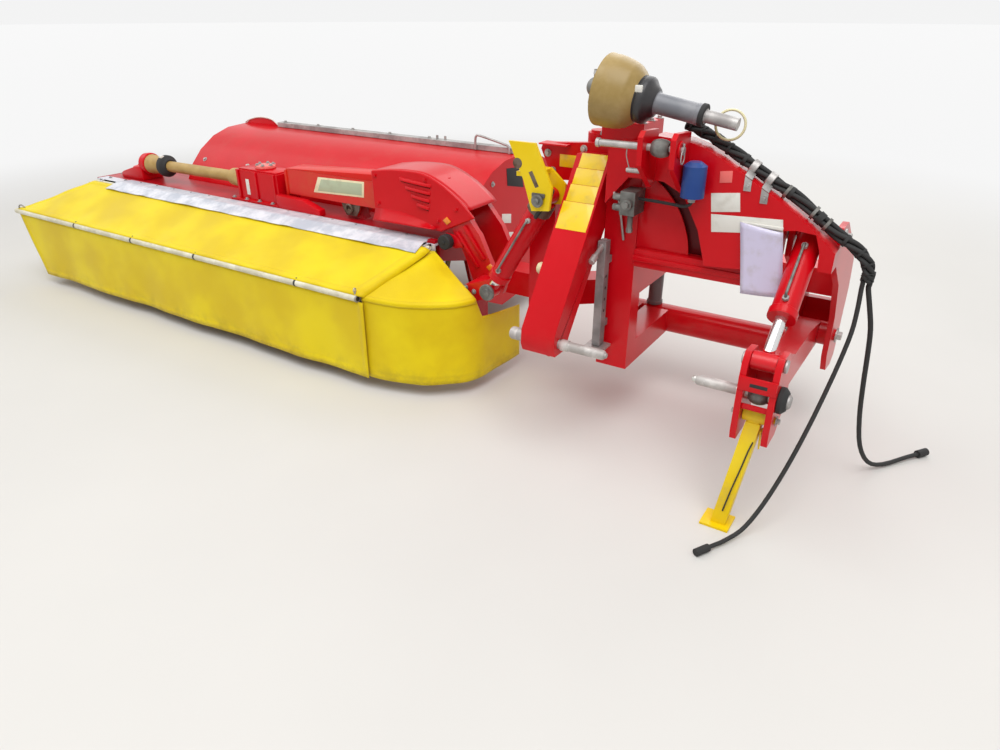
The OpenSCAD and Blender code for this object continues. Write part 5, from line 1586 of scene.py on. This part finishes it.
@dataclass
class Studio:
    """Pale floor, plain lamps and the camera at the photograph's angle."""

    eye: Triple = (842.0, -2303.0, 1700.0)
    yaw: float = 32.5
    pitch: float = 27.1
    lens: float = 26.0
    floor: tuple = rgba(212, 210, 206)
    near_edge: float = 3.6
    far_edge: float = 7.5

    def camera(self) -> None:
        """Sets the camera up."""
        data = bpy.data.cameras.new("view")
        data.lens, data.sensor_width, data.sensor_fit = self.lens, 36.0, "HORIZONTAL"
        camera = bpy.data.objects.new("view", data)
        bpy.context.scene.collection.objects.link(camera)
        yaw, pitch = math.radians(self.yaw), math.radians(self.pitch)
        ahead = Vector((-math.sin(yaw), math.cos(yaw), 0))
        right = Vector((math.cos(yaw), math.sin(yaw), 0))
        rise = Vector((0, 0, 1))
        look = math.cos(pitch) * ahead - math.sin(pitch) * rise
        up = math.sin(pitch) * ahead + math.cos(pitch) * rise
        turn = Matrix((right, up, -look)).transposed().to_4x4()
        turn.translation = at(*self.eye)
        camera.matrix_world = turn
        bpy.context.scene.camera = camera

    def light(self) -> None:
        """Adds the lamps and the world."""
        for name, energy, size, place, aim in (
                ("key", 440.0, 6.0, (3.0, -3.4, 7.2), (0.6, 0.0, 0.4)),
                ("fill", 150.0, 7.0, (-4.5, -2.0, 6.2), (0.0, 0.0, 0.4)),
                ("back", 200.0, 6.0, (1.0, 5.5, 5.0), (0.5, 0.0, 0.6))):
            lamp = bpy.data.lights.new(name, "AREA")
            lamp.energy, lamp.size = energy, size
            holder = bpy.data.objects.new(name, lamp)
            bpy.context.scene.collection.objects.link(holder)
            holder.location = place
            holder.rotation_euler = (Vector(aim) - Vector(place)).to_track_quat("-Z", "Y").to_euler()
        world = bpy.data.worlds.new("sky")
        bpy.context.scene.world = world
        world.use_nodes = True
        nodes, links = world.node_tree.nodes, world.node_tree.links
        background = nodes["Background"]
        background.inputs["Color"].default_value = (1, 1, 1, 1)
        rays = nodes.new("ShaderNodeLightPath")
        level = nodes.new("ShaderNodeMath")
        level.operation = "MULTIPLY_ADD"
        level.inputs[1].default_value, level.inputs[2].default_value = 0.35, 0.55
        shown = nodes.new("ShaderNodeMath")
        shown.operation = "MAXIMUM"
        links.new(rays.outputs["Is Camera Ray"], shown.inputs[0])
        links.new(rays.outputs["Is Glossy Ray"], shown.inputs[1])
        links.new(shown.outputs[0], level.inputs[0])
        links.new(level.outputs[0], background.inputs["Strength"])

    def ground(self) -> None:
        """Lays the floor."""
        Bench.clear()
        bpy.ops.mesh.primitive_circle_add(vertices=96, radius=90.0, fill_type="NGON", location=(0, 0, -0.0005))
        floor = Bench.settle("floor")
        graph = Graph("floor_screed")
        clouds = graph.ramp(graph.noise(0.9, 3), 0.3, 0.7)
        near = graph.mix(clouds, self.floor, rgba(214, 212, 208))
        span = graph.add("VectorMath", {0: graph.coords}, operation="LENGTH").outputs["Value"]
        far = graph.ramp(span, self.near_edge, self.far_edge)
        rays = graph.add("LightPath").outputs
        shown = graph.math("MAXIMUM", rays["Is Camera Ray"], rays["Is Glossy Ray"])
        graph.set(Base_Color=graph.mix(far, near, (0.0, 0.0, 0.0, 1.0)), Roughness=0.85, Specular_IOR_Level=0.1)
        graph.set(Emission_Color=(0.9, 0.9, 0.9, 1.0), Emission_Strength=graph.math("MULTIPLY", far, shown))
        floor.data.materials.append(graph.material)

    def build(self) -> None:
        """Builds the studio."""
        self.camera()
        self.light()
        self.ground()
        bpy.context.scene.view_settings.view_transform = "Standard"


def main() -> None:
    """Builds the scene in order."""
    logging.basicConfig(level=logging.INFO, format="%(message)s")
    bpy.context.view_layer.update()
    Studio().build()
    Hoses().lay()
    Bundle().lay()
    Machine().dress()
    Cover().build()
    ShaftGuard().build()
    Covers().hang()
    for trim in (HeadTrim(), ArmTrim(), LiftTrim(), MowerTrim(), GuardTrim()):
        trim.build()


if __name__ == "__main__":
    main()
